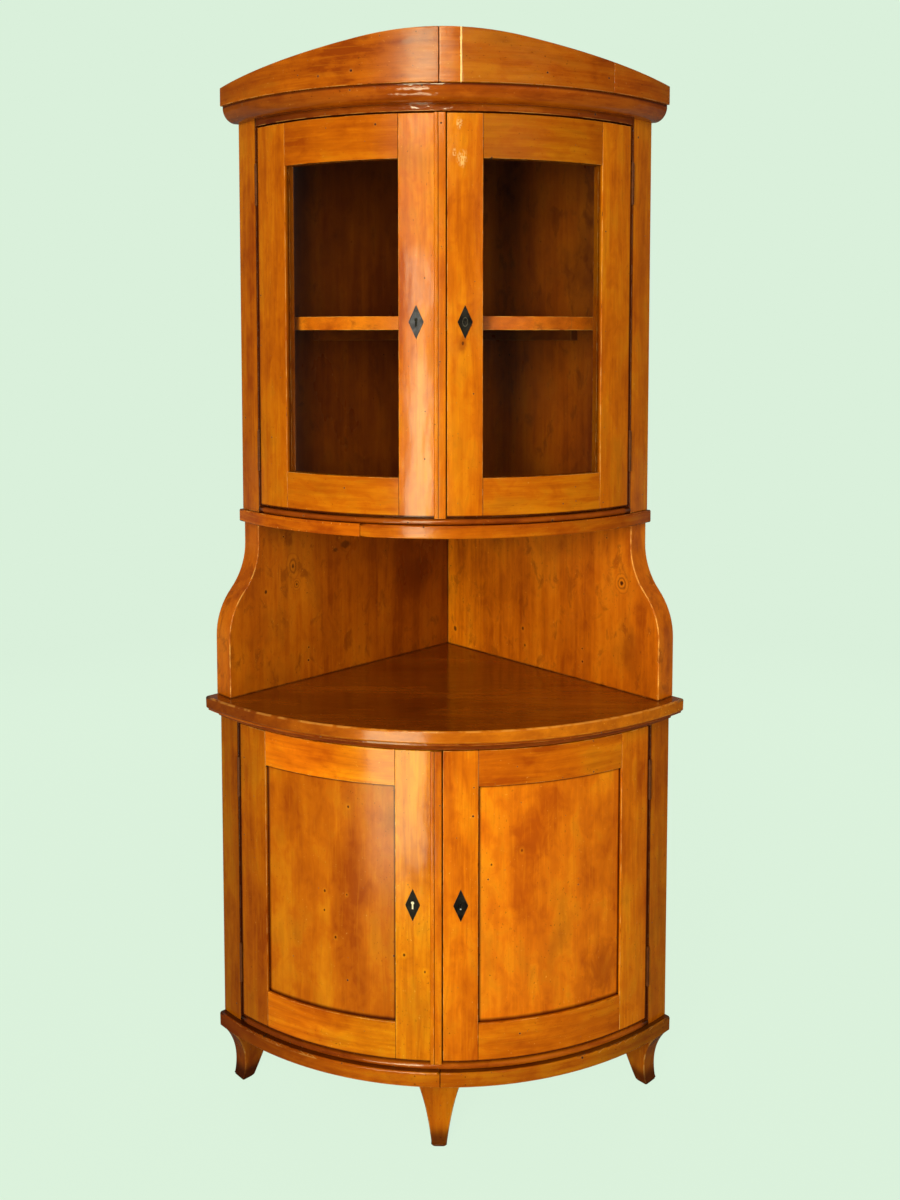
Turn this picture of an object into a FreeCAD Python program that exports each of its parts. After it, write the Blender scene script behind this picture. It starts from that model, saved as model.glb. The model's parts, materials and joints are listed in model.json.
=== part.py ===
"""Bow-fronted corner cupboard in two tiers, standing in the corner between two walls.

Millimetres, +Z up, the front faces -Y. While the pieces are made, the corner of the two walls is the
Z axis and the walls are the planes y = -x and y = x. At the end everything moves along Y, so that the
origin is under the middle of the cupboard's box, on the floor.
"""
import FreeCAD, Part
import math
import os
from dataclasses import dataclass

V = FreeCAD.Vector

# Heights, from the floor up
foot_height = 116.0
plinth_height = 27.0
lower_bead_height = 11.0
lower_door_height = 580.0
worktop_moulding_height = 20.0
worktop_thickness = 24.0
niche_height = 332.0
waist_height = 24.0
upper_bead_height = 11.0
upper_door_height = 713.5
frieze_height = 11.5
cornice_moulding_height = 29.0
fascia_end_height = 34.0
fascia_rise = 60.0

# Reach of each tier's front along the walls, and how far in front of the corner its arc is centred
lower_reach = 617.0
upper_reach = 560.0
lower_bow = 0.0
upper_bow = 90.0

# How far the mouldings stand out from the door fronts
worktop_overhang = 33.0
worktop_moulding_top = 28.0
worktop_moulding_foot = 4.0
plinth_projection = 11.0
bead_projection = 2.5
waist_projection = 8.0
cornice_moulding_projection = 35.0
fascia_projection = 41.0
frieze_recess = 1.0

# Timber sizes
lower_side_thickness = 24.0
upper_side_thickness = 47.0
lower_case_stile = 56.0
upper_case_stile = 63.0
case_stile_thickness = 30.0
plinth_thickness = 30.0
board_thickness = 22.0
shelf_thickness = 25.0
fascia_thickness = 25.0
fascia_crown_radius = 850.0
edge_rounding = 4.0
moulding_rounding = 3.0
moulding_fillet = 4.0
ovolo_bulge = 9.0
hollow_bulge = 5.0
shelf_setback = 25.0
floor_stop = 8.0
batten_size = 20.0
batten_length = 340.0
batten_start = 80.0
lower_shelf_rise = 278.0
upper_shelf_rise = 330.0

# The niche boards' S-curved front edge
niche_bulge_setback = 25.0
niche_shoulder_setback = 3.0
niche_bulge_height = 115.0
niche_neck_height = 42.0

# Doors
door_thickness = 24.0
door_gap = 3.5
hinge_gap = 3.0
meeting_gap = 2.0
lower_hinge_stile = 71.0
upper_hinge_stile = 79.0
lower_lock_stile = 64.0
upper_lock_stile = 64.0
cover_strip_width = 21.0
cover_strip_thickness = 5.0
cover_strip_rounding = 2.5
cover_strip_drop = 2.0
groove_depth = 8.0
groove_clearance = 0.2
glass_thickness = 3.0
glass_lip = 9.0
panel_thickness = 10.0
panel_lip = 6.0
panel_edge_clearance = 1.0
upper_top_rail = 78.0
upper_bottom_rail = 70.0
lower_top_rail = 66.0
lower_bottom_rail = 71.0
upper_meeting = 8.0
lower_meeting = 1.0

# Keyhole plates
plate_width = 27.0
plate_height = 60.0
plate_thickness = 2.0
plate_seat = 0.05
keyhole_radius = 3.2
keyhole_slot = 3.0
keyhole_drop = 12.0
keyhole_rise = 4.0
keyhole_depth = 12.0
upper_lock_rise = 348.5
lower_lock_rise = 294.5

# Butt hinges
hinge_height = 75.0
hinge_inset = 105.0
knuckle_radius = 2.8
knuckle_count = 5
knuckle_play = 0.3
hinge_proud = 1.0
pin_radius = 1.4
pin_clearance = 0.05
pin_head_radius = 2.2
pin_head_height = 1.5
leaf_width = 21.0
leaf_inner_face = 0.3
leaf_outer_face = 1.4
scallop_clearance = 0.7

# Locks and door bolts
lock_width = 50.0
lock_height = 90.0
lock_depth = 14.0
lock_inset = 3.0
lock_bolt_height = 22.0
lock_bolt_thickness = 6.0
lock_bolt_length = 38.0
slide_clearance = 0.3
seat_clearance = 0.1
bolt_plate_width = 24.0
bolt_plate_height = 90.0
bolt_plate_thickness = 2.0
bolt_plate_drop = 10.0
staple_height = 12.0
staple_width = 18.0
staple_depth = 12.0
bolt_radius = 4.0
bolt_axis_depth = 6.0
bolt_drop = 6.0
bolt_tail = 6.0
bolt_travel = 14.0
knob_radius = 3.0
knob_length = 12.0

# Feet
side_foot_setback = 1.5
side_foot_top_length = 107.5
side_foot_top_thickness = 40.0
side_toe_thickness = 32.0
toe_length = 26.0
side_toe_setback = 30.5
ankle_height = 45.0
ankle_tuck = 34.7
side_heel_tuck = 80.0
front_foot_offset = -5.0
front_foot_top_width = 76.0
front_foot_ankle_width = 42.0
front_toe_width = 26.5
front_toe_setback = 4.0
front_foot_setback = 6.0
front_foot_tuck = 14.0
front_foot_top_depth = 62.0
front_heel_tuck = 46.0
rear_foot_size = 60.0
toe_rounding = 5.0

# The corner's half angle, an angle past the walls and a length past everything, for shapes cut off later
half_corner = 45.0
end_margin = 5.0
far = 1200.0
root2 = math.sqrt(2.0)

# Levels
plinth_base = foot_height
plinth_top = plinth_base + plinth_height
lower_door_base = plinth_top + lower_bead_height + door_gap
lower_door_top = lower_door_base + lower_door_height
lower_frame_top = lower_door_top + door_gap
worktop_base = lower_frame_top + worktop_moulding_height
worktop_top = worktop_base + worktop_thickness
waist_base = worktop_top + niche_height
waist_top = waist_base + waist_height
upper_door_base = waist_top + upper_bead_height + door_gap
upper_door_top = upper_door_base + upper_door_height
frieze_base = upper_door_top + door_gap
cornice_base = frieze_base + frieze_height
cornice_top = cornice_base + cornice_moulding_height
total_height = cornice_top + fascia_end_height + fascia_rise
lower_shelf_base = plinth_top + lower_bead_height + floor_stop + lower_shelf_rise
upper_shelf_base = waist_top + upper_bead_height + floor_stop + upper_shelf_rise


@dataclass
class Tier:
    """One pair of bowed doors and the arc that its front follows."""

    name: str
    reach: float
    bow: float
    case_stile: float
    bead_height: float
    door_base: float
    door_top: float
    top_rail: float
    bottom_rail: float
    hinge_stile: float
    lock_stile: float
    meeting: float
    infill_name: str
    infill_thickness: float
    infill_lip: float
    lock_z: float

    @property
    def front(self):
        """Radius of the door fronts, so that the arc meets the walls at the tier's reach."""
        half = self.reach / root2
        return math.hypot(half, half - self.bow)

    @property
    def door_back(self):
        """Radius of the door backs."""
        return self.front - door_thickness

    @property
    def stile_back(self):
        """Radius of the backs of the cabinet's stiles."""
        return self.front - case_stile_thickness

    def angle(self, length):
        """Angle that a length along the door fronts spans."""
        return math.degrees(length / self.front)

    @property
    def wall_angle(self):
        """Angle where the door fronts' arc meets the wall."""
        return half_corner + math.degrees(math.asin(self.bow / (root2 * self.front)))

    @property
    def stile_edge(self):
        """Angle of the cabinet stile's edge beside the door."""
        return self.wall_angle - self.angle(self.case_stile)

    @property
    def hinge_angle(self):
        """Angle of the hinge pins, in the middle of the gap beside the stile."""
        return self.stile_edge - self.angle(hinge_gap / 2)

    @property
    def door_edge(self):
        """Angle of the door's hinge edge."""
        return self.stile_edge - self.angle(hinge_gap)

    @property
    def hinge_heights(self):
        """Heights of the middles of the two hinges."""
        return (self.door_base + hinge_inset, self.door_top - hinge_inset)


lower = Tier("lower", lower_reach, lower_bow, lower_case_stile, lower_bead_height, lower_door_base,
             lower_door_top, lower_top_rail, lower_bottom_rail, lower_hinge_stile, lower_lock_stile,
             lower_meeting, "panel", panel_thickness, panel_lip, lower_door_base + lower_lock_rise)
upper = Tier("upper", upper_reach, upper_bow, upper_case_stile, upper_bead_height, upper_door_base,
             upper_door_top, upper_top_rail, upper_bottom_rail, upper_hinge_stile, upper_lock_stile,
             upper_meeting, "glass", glass_thickness, glass_lip, upper_door_base + upper_lock_rise)

worktop_radius = lower.front + worktop_overhang


# Shapes that the pieces share

def outline(start, *steps):
    """Closed face in the XZ plane. A step is an end point, or a point to pass through and an end point."""
    edges = []
    first = V(start[0], 0, start[1])
    here = first
    for step in steps:
        if isinstance(step[0], tuple):
            through, end = (V(p[0], 0, p[1]) for p in step)
            edges.append(Part.Arc(here, through, end).toShape())
        else:
            end = V(step[0], 0, step[1])
            edges.append(Part.makeLine(here, end))
        here = end
    if here != first:
        edges.append(Part.makeLine(here, first))
    return Part.Face(Part.Wire(edges))


def arc(start, end, bulge):
    """Step of an outline: an arc that swells to the right of its way by a bulge, left if negative."""
    run = end[0] - start[0]
    rise = end[1] - start[1]
    share = bulge / math.hypot(run, rise)
    middle = ((start[0] + end[0]) / 2 + share * rise, (start[1] + end[1]) / 2 - share * run)
    return middle, end


def quarter_bulge(radius):
    """Bulge of a quarter circle over its chord."""
    return radius * (1 - 1 / root2)


def rectangle(x0, x1, z0, z1):
    """Rectangular face in the XZ plane."""
    return outline((x0, z0), (x1, z0), (x1, z1), (x0, z1))


def turned(shape, degrees):
    """Copy of a shape turned about the Z axis."""
    copy = shape.copy()
    copy.rotate(V(0, 0, 0), V(0, 0, 1), degrees)
    return copy


def moved(shape, x=0.0, y=0.0, z=0.0):
    """Copy of a shape moved by an offset."""
    copy = shape.copy()
    copy.translate(V(x, y, z))
    return copy


def mirrored(shape):
    """The left-hand copy of a right-hand piece."""
    return shape.mirror(V(0, 0, 0), V(1, 0, 0))


def swept(face, bow, start, end):
    """Profile of radius and height, swept about the tier's centre from one angle to another."""
    turned_face = turned(face, start - 90.0)
    solid = turned_face.revolve(V(0, 0, 0), V(0, 0, 1), end - start)
    return moved(solid, y=-bow)


def sector(bow, inner, outer, z0, z1, start, end):
    """Bowed bar of rectangular section."""
    return swept(rectangle(inner, outer, z0, z1), bow, start, end)


def block(x0, x1, y0, y1, z0, z1):
    """Box between two corners."""
    return Part.makeBox(x1 - x0, y1 - y0, z1 - z0, V(x0, y0, z0))


def between_walls(inset, z0, z1):
    """Wedge of space between the two walls, or between boards of a thickness that line them."""
    apex = -inset * root2
    corners = [V(0, apex, z0), V(far, apex - far, z0), V(-far, apex - far, z0), V(0, apex, z0)]
    return Part.Face(Part.makePolygon(corners)).extrude(V(0, 0, z1 - z0))


def bowed_board(bow, radius, z0, z1, inset):
    """Flat board with a bowed front that fills the corner between the walls or the side boards."""
    disc = Part.makeCylinder(radius, z1 - z0, V(0, -bow, z0))
    return disc.common(between_walls(inset, z0, z1))


def bowed_moulding(face, bow):
    """Moulding swept from wall to wall, with its ends cut along the walls."""
    box = face.BoundBox
    widest = half_corner + math.degrees(math.asin(bow / (root2 * box.XMin))) + end_margin
    return swept(face, bow, -widest, widest).common(between_walls(0.0, box.ZMin, box.ZMax))


def on_front(shape, tier, degrees, radius):
    """Places a piece drawn at the origin, with its outside towards -Y, at an angle and radius of a tier."""
    spot = turned(shape, degrees)
    sine = math.sin(math.radians(degrees))
    cosine = math.cos(math.radians(degrees))
    return moved(spot, x=radius * sine, y=-tier.bow - radius * cosine)


def flat_seat(radius, width):
    """Distance from the centre at which a flat plate sits inside a bowed face, clear of its edges."""
    return math.sqrt(radius ** 2 - (width / 2) ** 2) - seat_clearance


# Case pieces

def lower_side_board():
    """Right-hand board against the wall, mitred at the corner, from the feet to the worktop."""
    panel = rectangle(0.0, far, plinth_base, worktop_base).extrude(V(0, -lower_side_thickness, 0))
    panel = turned(panel, -half_corner).common(block(0.0, far, -far, far, plinth_base, worktop_base))
    disc = Part.makeCylinder(lower.stile_back - seat_clearance, worktop_base, V(0, -lower_bow, 0))
    return panel.common(disc)


def upper_side_board():
    """Right-hand board of the upper case: S-curved in the niche, stepped back behind the stile."""
    bulge_z = worktop_top + niche_bulge_height
    neck_z = waist_base - niche_neck_height
    bulge = (worktop_radius - niche_bulge_setback, bulge_z)
    neck = (upper_reach - niche_shoulder_setback, neck_z)
    middle = ((bulge[0] + neck[0]) / 2, (bulge_z + neck_z) / 2)
    turn = 2 * math.atan2(bulge[0] - neck[0], neck_z - bulge_z)
    swell = (neck_z - bulge_z) / 2 / math.sin(turn) * (1 - math.cos(turn / 2))
    face = outline((0.0, worktop_top), (bulge[0], worktop_top), bulge, arc(bulge, middle, swell),
                   arc(middle, neck, -swell), (neck[0], cornice_top), (0.0, cornice_top))
    panel = face.extrude(V(0, -upper_side_thickness, 0))
    panel = turned(panel, -half_corner).common(block(0.0, far, -far, far, worktop_top, cornice_top))
    step = sector(upper_bow, upper.stile_back - seat_clearance, far, waist_base, cornice_top, 0.0, 90.0)
    return panel.cut(step)


def hinge_scallops(tier):
    """Round pockets beside the right-hand gap, in which the hinge knuckles turn."""
    radius = knuckle_radius + scallop_clearance
    height = hinge_height + 2 * pin_head_height + 2 * scallop_clearance
    pockets = []
    for middle in tier.hinge_heights:
        pocket = Part.makeCylinder(radius, height, V(0, 0, middle - height / 2))
        pockets.append(on_front(pocket, tier, tier.hinge_angle, tier.front + hinge_proud))
    return pockets


def case_stile(tier, z0, z1):
    """Right-hand stile of a case, from the door gap to the wall."""
    end = tier.wall_angle + end_margin
    bar = sector(tier.bow, tier.stile_back, tier.front, z0, z1, tier.stile_edge, end)
    bar = bar.common(between_walls(0.0, z0, z1))
    return bar.cut(hinge_scallops(tier))


def bead_rail(tier, base):
    """Rail under the doors, between the stiles, with a half-round face."""
    radius = tier.bead_height / 2
    top = base + tier.bead_height
    low = (tier.front + bead_projection - radius, base)
    high = (low[0], top)
    face = outline((tier.door_back, base), low, arc(low, high, radius), (tier.door_back, top))
    return swept(face, tier.bow, -tier.stile_edge, tier.stile_edge)


def notched(board, tier):
    """Board cut back round the two stiles of its case."""
    box = board.BoundBox
    notch = sector(tier.bow, tier.stile_back - seat_clearance, far, box.ZMin, box.ZMax,
                   tier.stile_edge - tier.angle(seat_clearance), tier.stile_edge + half_corner)
    return board.cut([notch, mirrored(notch)])


def floor_board(tier, inset, base):
    """Floor whose front edge stands up behind the doors as their stop."""
    top = base + tier.bead_height + floor_stop
    return notched(bowed_board(tier.bow, tier.door_back - slide_clearance, base, top, inset), tier)


def shelf(tier, inset, base):
    """Shelf that stops short of the doors and what they carry."""
    return bowed_board(tier.bow, tier.door_back - shelf_setback, base, base + shelf_thickness, inset)


def batten(inset, shelf_base):
    """Right-hand batten that carries a shelf."""
    bar = block(batten_start, batten_start + batten_length, -inset - batten_size, -inset,
                shelf_base - batten_size, shelf_base)
    return turned(bar, -half_corner)


def plinth_fascia():
    """Flat band round the foot of the case."""
    inner = lower.front - plinth_thickness
    outer = lower.front + plinth_projection
    shoulder = (outer, plinth_top - edge_rounding)
    face = outline((inner, plinth_base), (outer, plinth_base), shoulder,
                   arc(shoulder, (outer - edge_rounding, plinth_top), quarter_bulge(edge_rounding)),
                   (inner, plinth_top))
    return bowed_moulding(face, lower_bow)


def top_rail():
    """Rail over the lower doors, from wall to wall."""
    return bowed_moulding(rectangle(lower.door_back, lower.front, lower_frame_top, worktop_base), lower_bow)


def worktop():
    """Bowed worktop with a rounded front edge."""
    low = (worktop_radius, worktop_base + moulding_rounding)
    high = (worktop_radius, worktop_top - edge_rounding)
    face = outline((0.0, worktop_base), (worktop_radius - moulding_rounding, worktop_base), low, high,
                   arc(high, (worktop_radius - edge_rounding, worktop_top), quarter_bulge(edge_rounding)),
                   (0.0, worktop_top))
    return swept(face, lower_bow, -half_corner, half_corner)


def worktop_moulding():
    """Hollow moulding under the worktop's edge."""
    root = lower.front + seat_clearance
    foot = (lower.front + worktop_moulding_foot, lower_frame_top)
    head = (lower.front + worktop_moulding_top, worktop_base - moulding_fillet)
    face = outline((root, lower_frame_top), foot, arc(foot, head, -hollow_bulge), (head[0], worktop_base),
                   (root, worktop_base))
    return bowed_moulding(face, lower_bow)


def waist_moulding():
    """Flat band under the upper case, with softened edges."""
    outer = upper.front + waist_projection
    low = (outer - moulding_rounding, waist_base)
    high = (outer, waist_top - moulding_rounding)
    face = outline((upper.stile_back, waist_base), low,
                   arc(low, (outer, waist_base + moulding_rounding), quarter_bulge(moulding_rounding)), high,
                   arc(high, (outer - moulding_rounding, waist_top), quarter_bulge(moulding_rounding)),
                   (upper.stile_back, waist_top))
    return bowed_moulding(face, upper_bow)


def frieze_rail():
    """Rail over the upper doors, between the stiles."""
    return sector(upper_bow, upper.door_back, upper.front - frieze_recess, frieze_base, cornice_top,
                  -upper.stile_edge, upper.stile_edge)


def upper_top_board():
    """Board that closes the upper case, behind the frieze rail."""
    radius = upper.door_back - seat_clearance
    base = cornice_top - board_thickness
    return notched(bowed_board(upper_bow, radius, base, cornice_top, upper_side_thickness), upper)


def cornice_moulding():
    """Quarter-round moulding that swells out from the stiles to the fascia."""
    root = upper.front + seat_clearance
    tip = upper.front + cornice_moulding_projection
    foot = (root + moulding_fillet, cornice_base)
    head = (tip, cornice_top - moulding_fillet)
    face = outline((root, cornice_base), foot, arc(foot, head, ovolo_bulge), (tip, cornice_top),
                   (root, cornice_top))
    return bowed_moulding(face, upper_bow)


def cornice_fascia():
    """Upright band on the cornice moulding, its top a round crown between two straight slopes."""
    outer = upper.front + fascia_projection
    band = bowed_moulding(rectangle(outer - fascia_thickness, outer, cornice_top, total_height), upper_bow)
    half_span = band.BoundBox.XMax
    end_drop = fascia_crown_radius - fascia_rise
    end_distance = math.hypot(half_span, end_drop)
    slope = math.atan2(half_span, end_drop) - math.acos(fascia_crown_radius / end_distance)
    shoulder_x = fascia_crown_radius * math.sin(slope)
    shoulder_z = total_height - fascia_crown_radius * (1 - math.cos(slope))
    far_z = cornice_top + fascia_end_height - (far - half_span) * math.tan(slope)
    arch = outline((-far, 0.0), (far, 0.0), (far, far_z), (shoulder_x, shoulder_z),
                   ((0.0, total_height), (-shoulder_x, shoulder_z)), (-far, far_z))
    return band.common(arch.extrude(V(0, -far, 0)))


# Feet

def crossed(side_face, across_face):
    """Solid whose side view is one outline and whose front view is another; forward is +X."""
    side = moved(side_face, y=-far / 2).extrude(V(0, far, 0))
    across = turned(across_face, 90.0).extrude(V(far, 0, 0))
    return side.common(across)


def side_foot():
    """Right-hand sabre foot under the end of the plinth."""
    tip = lower.front + plinth_projection
    front = tip - side_foot_setback
    toe = tip - side_toe_setback
    heel = toe - toe_length
    side = outline((heel, 0.0), (toe, 0.0), ((tip - ankle_tuck, ankle_height), (front, foot_height)),
                   (front - side_foot_top_length, foot_height),
                   ((tip - side_heel_tuck, ankle_height), (heel, 0.0)))
    across = outline((0.0, 0.0), (0.0, foot_height), (-side_foot_top_thickness, foot_height),
                     (-side_toe_thickness, 0.0))
    return turned(crossed(side, across), -half_corner)


def front_foot():
    """Sabre foot under the middle of the plinth, narrowing to its toe."""
    tip = lower.front + plinth_projection
    front = tip - front_foot_setback
    toe = tip - front_toe_setback
    heel = toe - toe_length
    top = front_foot_top_width / 2
    ankle = front_foot_ankle_width / 2
    foot = front_toe_width / 2
    side = outline((heel, 0.0), (toe, 0.0), ((tip - front_foot_tuck, ankle_height), (front, foot_height)),
                   (front - front_foot_top_depth, foot_height),
                   ((tip - front_heel_tuck, ankle_height), (heel, 0.0)))
    across = outline((-foot, 0.0), (foot, 0.0), ((ankle, ankle_height), (top, foot_height)),
                     (-top, foot_height), ((-ankle, ankle_height), (-foot, 0.0)))
    return moved(turned(crossed(side, across), -90.0), x=front_foot_offset)


def rear_foot():
    """Square block in the corner, chamfered at the floor."""
    bar = turned(block(0.0, rear_foot_size, -rear_foot_size, 0.0, 0.0, foot_height), -half_corner)
    return bar.makeChamfer(toe_rounding, [edge for edge in bar.Edges if edge.BoundBox.ZMax < toe_rounding])


# Doors

class Door:
    """One bowed door: frame, infill, keyhole plate and hinge leaves."""

    def __init__(self, tier, hand):
        self.tier = tier
        self.hand = hand
        self.name = f"{tier.name}_{hand}_door"
        meeting = tier.angle(tier.meeting)
        half_gap = tier.angle(meeting_gap / 2)
        hinge_stile = tier.angle(tier.hinge_stile)
        lock_stile = tier.angle(tier.lock_stile)
        if hand == "right":
            self.start = meeting + half_gap
            self.end = tier.door_edge
            self.open_start = self.start + lock_stile
            self.open_end = self.end - hinge_stile
            self.plate_angle = self.start + lock_stile / 2
            self.lock_angle = self.start + tier.angle(lock_inset + lock_width / 2)
        else:
            self.start = -tier.door_edge
            self.end = meeting - half_gap
            self.strip_start = self.end - tier.angle(cover_strip_width)
            self.open_start = self.start + hinge_stile
            self.open_end = self.strip_start - lock_stile
            self.plate_angle = self.strip_start - lock_stile / 2
        self.open_base = tier.door_base + tier.bottom_rail
        self.open_top = tier.door_top - tier.top_rail

    def bar(self, z0, z1, start, end):
        """Frame member of the door's full thickness."""
        return sector(self.tier.bow, self.tier.door_back, self.tier.front, z0, z1, start, end)

    def infill(self, clearance, edge):
        """Glass or panel, or the groove that it fits when the clearances are negative."""
        tier = self.tier
        outer = tier.front - tier.infill_lip - clearance
        inner = tier.front - tier.infill_lip - tier.infill_thickness + clearance
        depth = groove_depth - edge
        turn = tier.angle(depth)
        return sector(tier.bow, inner, outer, self.open_base - depth, self.open_top + depth,
                      self.open_start - turn, self.open_end + turn)

    def frame(self):
        """The two stiles and the two rails, grooved for the infill."""
        tier = self.tier
        groove = self.infill(-groove_clearance / 2, 0.0)
        hinge_side = (self.open_end, self.end) if self.hand == "right" else (self.start, self.open_start)
        lock_side = (self.start, self.open_start) if self.hand == "right" else (self.open_end, self.end)
        scallops = hinge_scallops(tier)
        if self.hand == "left":
            scallops = [mirrored(pocket) for pocket in scallops]
        hinge_stile = self.bar(tier.door_base, tier.door_top, *hinge_side).cut([groove] + scallops)
        keyhole = on_front(self.keyhole(0.0, keyhole_depth), tier, self.plate_angle, tier.front)
        lock_stile = self.bar(tier.door_base, tier.door_top, *lock_side).cut([groove, keyhole])
        rails = [self.bar(tier.door_base, self.open_base, self.open_start, self.open_end).cut(groove),
                 self.bar(self.open_top, tier.door_top, self.open_start, self.open_end).cut(groove)]
        return [hinge_stile, lock_stile], rails

    def keyhole(self, front, back):
        """Keyhole-shaped cutter through a plate or into a stile, at the lock's height."""
        z = self.tier.lock_z
        eye = Part.makeCylinder(keyhole_radius, front + back, V(0, -front, z + keyhole_rise), V(0, 1, 0))
        slot = block(-keyhole_slot / 2, keyhole_slot / 2, -front, back, z + keyhole_rise - keyhole_drop,
                     z + keyhole_rise)
        return eye.fuse(slot)

    def keyhole_plate(self):
        """Lozenge plate with its keyhole, on the front of the lock stile."""
        z = self.tier.lock_z
        half_w = plate_width / 2
        half_h = plate_height / 2
        lozenge = outline((-half_w, z), (0.0, z - half_h), (half_w, z), (0.0, z + half_h))
        plate = lozenge.extrude(V(0, -plate_thickness, 0)).cut(self.keyhole(far, far))
        return on_front(plate, self.tier, self.plate_angle, self.tier.front + plate_seat)

    def cover_strip(self):
        """Rounded strip along the meeting edge of the left door."""
        tier = self.tier
        inner = tier.front + seat_clearance
        outer = tier.front + cover_strip_thickness
        base = tier.door_base - cover_strip_drop
        bar = sector(tier.bow, inner, outer, base, tier.door_top, self.strip_start, self.end)
        upright = [edge for edge in bar.Edges if edge.BoundBox.ZLength > tier.door_top - tier.door_base]
        radii = [math.hypot(edge.BoundBox.XMax, edge.BoundBox.YMax + tier.bow) for edge in upright]
        front_edges = [edge for edge, radius in zip(upright, radii) if radius > (inner + outer) / 2]
        return bar.makeFillet(cover_strip_rounding, front_edges)

    def lock(self):
        """Lock case inside the right door, and the bolt that slides out of it towards the left door."""
        tier = self.tier
        seat = flat_seat(tier.door_back, lock_width)
        half = lock_width / 2
        z = tier.lock_z
        case = block(-half, half, 0.0, lock_depth, z - lock_height / 2, z + lock_height / 2)
        bolt_end = lock_bolt_length - half
        bolt_y = (lock_depth - lock_bolt_thickness) / 2
        bolt_back = bolt_y + lock_bolt_thickness
        bolt_base = z - lock_bolt_height / 2
        bolt_top = z + lock_bolt_height / 2
        bolt = block(-half, bolt_end, bolt_y, bolt_back, bolt_base, bolt_top)
        way = block(-half, bolt_end + slide_clearance, bolt_y - slide_clearance, bolt_back + slide_clearance,
                    bolt_base - slide_clearance, bolt_top + slide_clearance)
        return [on_front(shape, tier, self.lock_angle, seat) for shape in (case.cut(way), bolt)]

    def door_bolt(self):
        """Small bolt inside the left door's lock stile: its plate with two staples, and the sliding bar."""
        tier = self.tier
        seat = flat_seat(tier.door_back, bolt_plate_width)
        top = tier.door_top - bolt_plate_drop
        base = top - bolt_plate_height
        plate = block(-bolt_plate_width / 2, bolt_plate_width / 2, 0.0, bolt_plate_thickness, base, top)
        for low in (base + bolt_tail, top - bolt_tail - staple_height):
            staple = block(-staple_width / 2, staple_width / 2, bolt_plate_thickness,
                           bolt_plate_thickness + staple_depth, low, low + staple_height)
            plate = plate.fuse(staple)
        axis_y = bolt_plate_thickness + bolt_axis_depth
        way = Part.makeCylinder(bolt_radius + slide_clearance, bolt_plate_height, V(0, axis_y, base))
        bar = Part.makeCylinder(bolt_radius, tier.door_top - bolt_drop - base, V(0, axis_y, base))
        knob_z = (base + top) / 2 - bolt_travel / 2
        knob = Part.makeCylinder(knob_radius, knob_length, V(0, axis_y, knob_z), V(0, 1, 0))
        plate = plate.removeSplitter().cut(way)
        bar = bar.fuse(knob).removeSplitter()
        return [on_front(shape, tier, self.plate_angle, seat) for shape in (plate, bar)]


# Hinges, drawn about their pin with the cabinet stile towards +X and the door towards -X

def hinge_leaf(middle, side):
    """Leaf of a butt hinge: side 1 is the cabinet's leaf, side -1 the door's."""
    base = middle - hinge_height / 2
    step = hinge_height / knuckle_count
    inner, outer = sorted((side * leaf_inner_face, side * leaf_outer_face))
    leaf = block(inner, outer, knuckle_radius + scallop_clearance, leaf_width, base, base + hinge_height)
    first = 0 if side > 0 else 1
    for index in range(first, knuckle_count, 2):
        low = base + index * step + knuckle_play / 2
        high = low + step - knuckle_play
        leaf = leaf.fuse(Part.makeCylinder(knuckle_radius, high - low, V(0, 0, low)))
        leaf = leaf.fuse(block(inner, outer, 0.0, knuckle_radius + 2 * scallop_clearance, low, high))
    pin_hole = Part.makeCylinder(pin_radius + pin_clearance, hinge_height, V(0, 0, base))
    return leaf.removeSplitter().cut(pin_hole)


def hinge_pin(middle):
    """Hinge pin with a flat head at each end."""
    base = middle - hinge_height / 2
    pin = Part.makeCylinder(pin_radius, hinge_height, V(0, 0, base))
    for head_base in (base - pin_head_height, base + hinge_height):
        pin = pin.fuse(Part.makeCylinder(pin_head_radius, pin_head_height, V(0, 0, head_base)))
    return pin.removeSplitter()


def both_hands(tier, drawn):
    """Right-hand and left-hand copies of hinge pieces, placed at a tier's two gaps."""
    right = [on_front(piece, tier, tier.hinge_angle, tier.front + hinge_proud) for piece in drawn]
    return right, [mirrored(piece) for piece in right]


# The assembly

pieces = {}

right_pieces = {"lower_%s_side_board": lower_side_board(),
                "upper_%s_side_board": upper_side_board(),
                "lower_%s_stile": case_stile(lower, plinth_top, lower_frame_top),
                "upper_%s_stile": case_stile(upper, waist_top, cornice_top),
                "%s_foot": side_foot()}
for name, shape in right_pieces.items():
    pieces[name % "right"] = shape
    pieces[name % "left"] = mirrored(shape)

pieces["front_foot"] = front_foot()
pieces["rear_foot"] = rear_foot()
pieces["plinth_fascia"] = plinth_fascia()
pieces["lower_bead_rail"] = bead_rail(lower, plinth_top)
pieces["lower_floor_board"] = floor_board(lower, lower_side_thickness, plinth_top)
pieces["lower_shelf"] = shelf(lower, lower_side_thickness, lower_shelf_base)
pieces["lower_top_rail"] = top_rail()
pieces["worktop_moulding"] = worktop_moulding()
pieces["worktop"] = worktop()

pieces["waist_moulding"] = waist_moulding()
pieces["upper_bead_rail"] = bead_rail(upper, waist_top)
pieces["upper_floor_board"] = floor_board(upper, upper_side_thickness, waist_top)
pieces["upper_shelf"] = shelf(upper, upper_side_thickness, upper_shelf_base)
pieces["frieze_rail"] = frieze_rail()
pieces["upper_top_board"] = upper_top_board()
pieces["cornice_moulding"] = cornice_moulding()
pieces["cornice_fascia"] = cornice_fascia()

battens = [batten(lower_side_thickness, lower_shelf_base), batten(upper_side_thickness, upper_shelf_base)]
pieces["shelf_battens"] = Part.makeCompound(battens + [mirrored(bar) for bar in battens])

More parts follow.
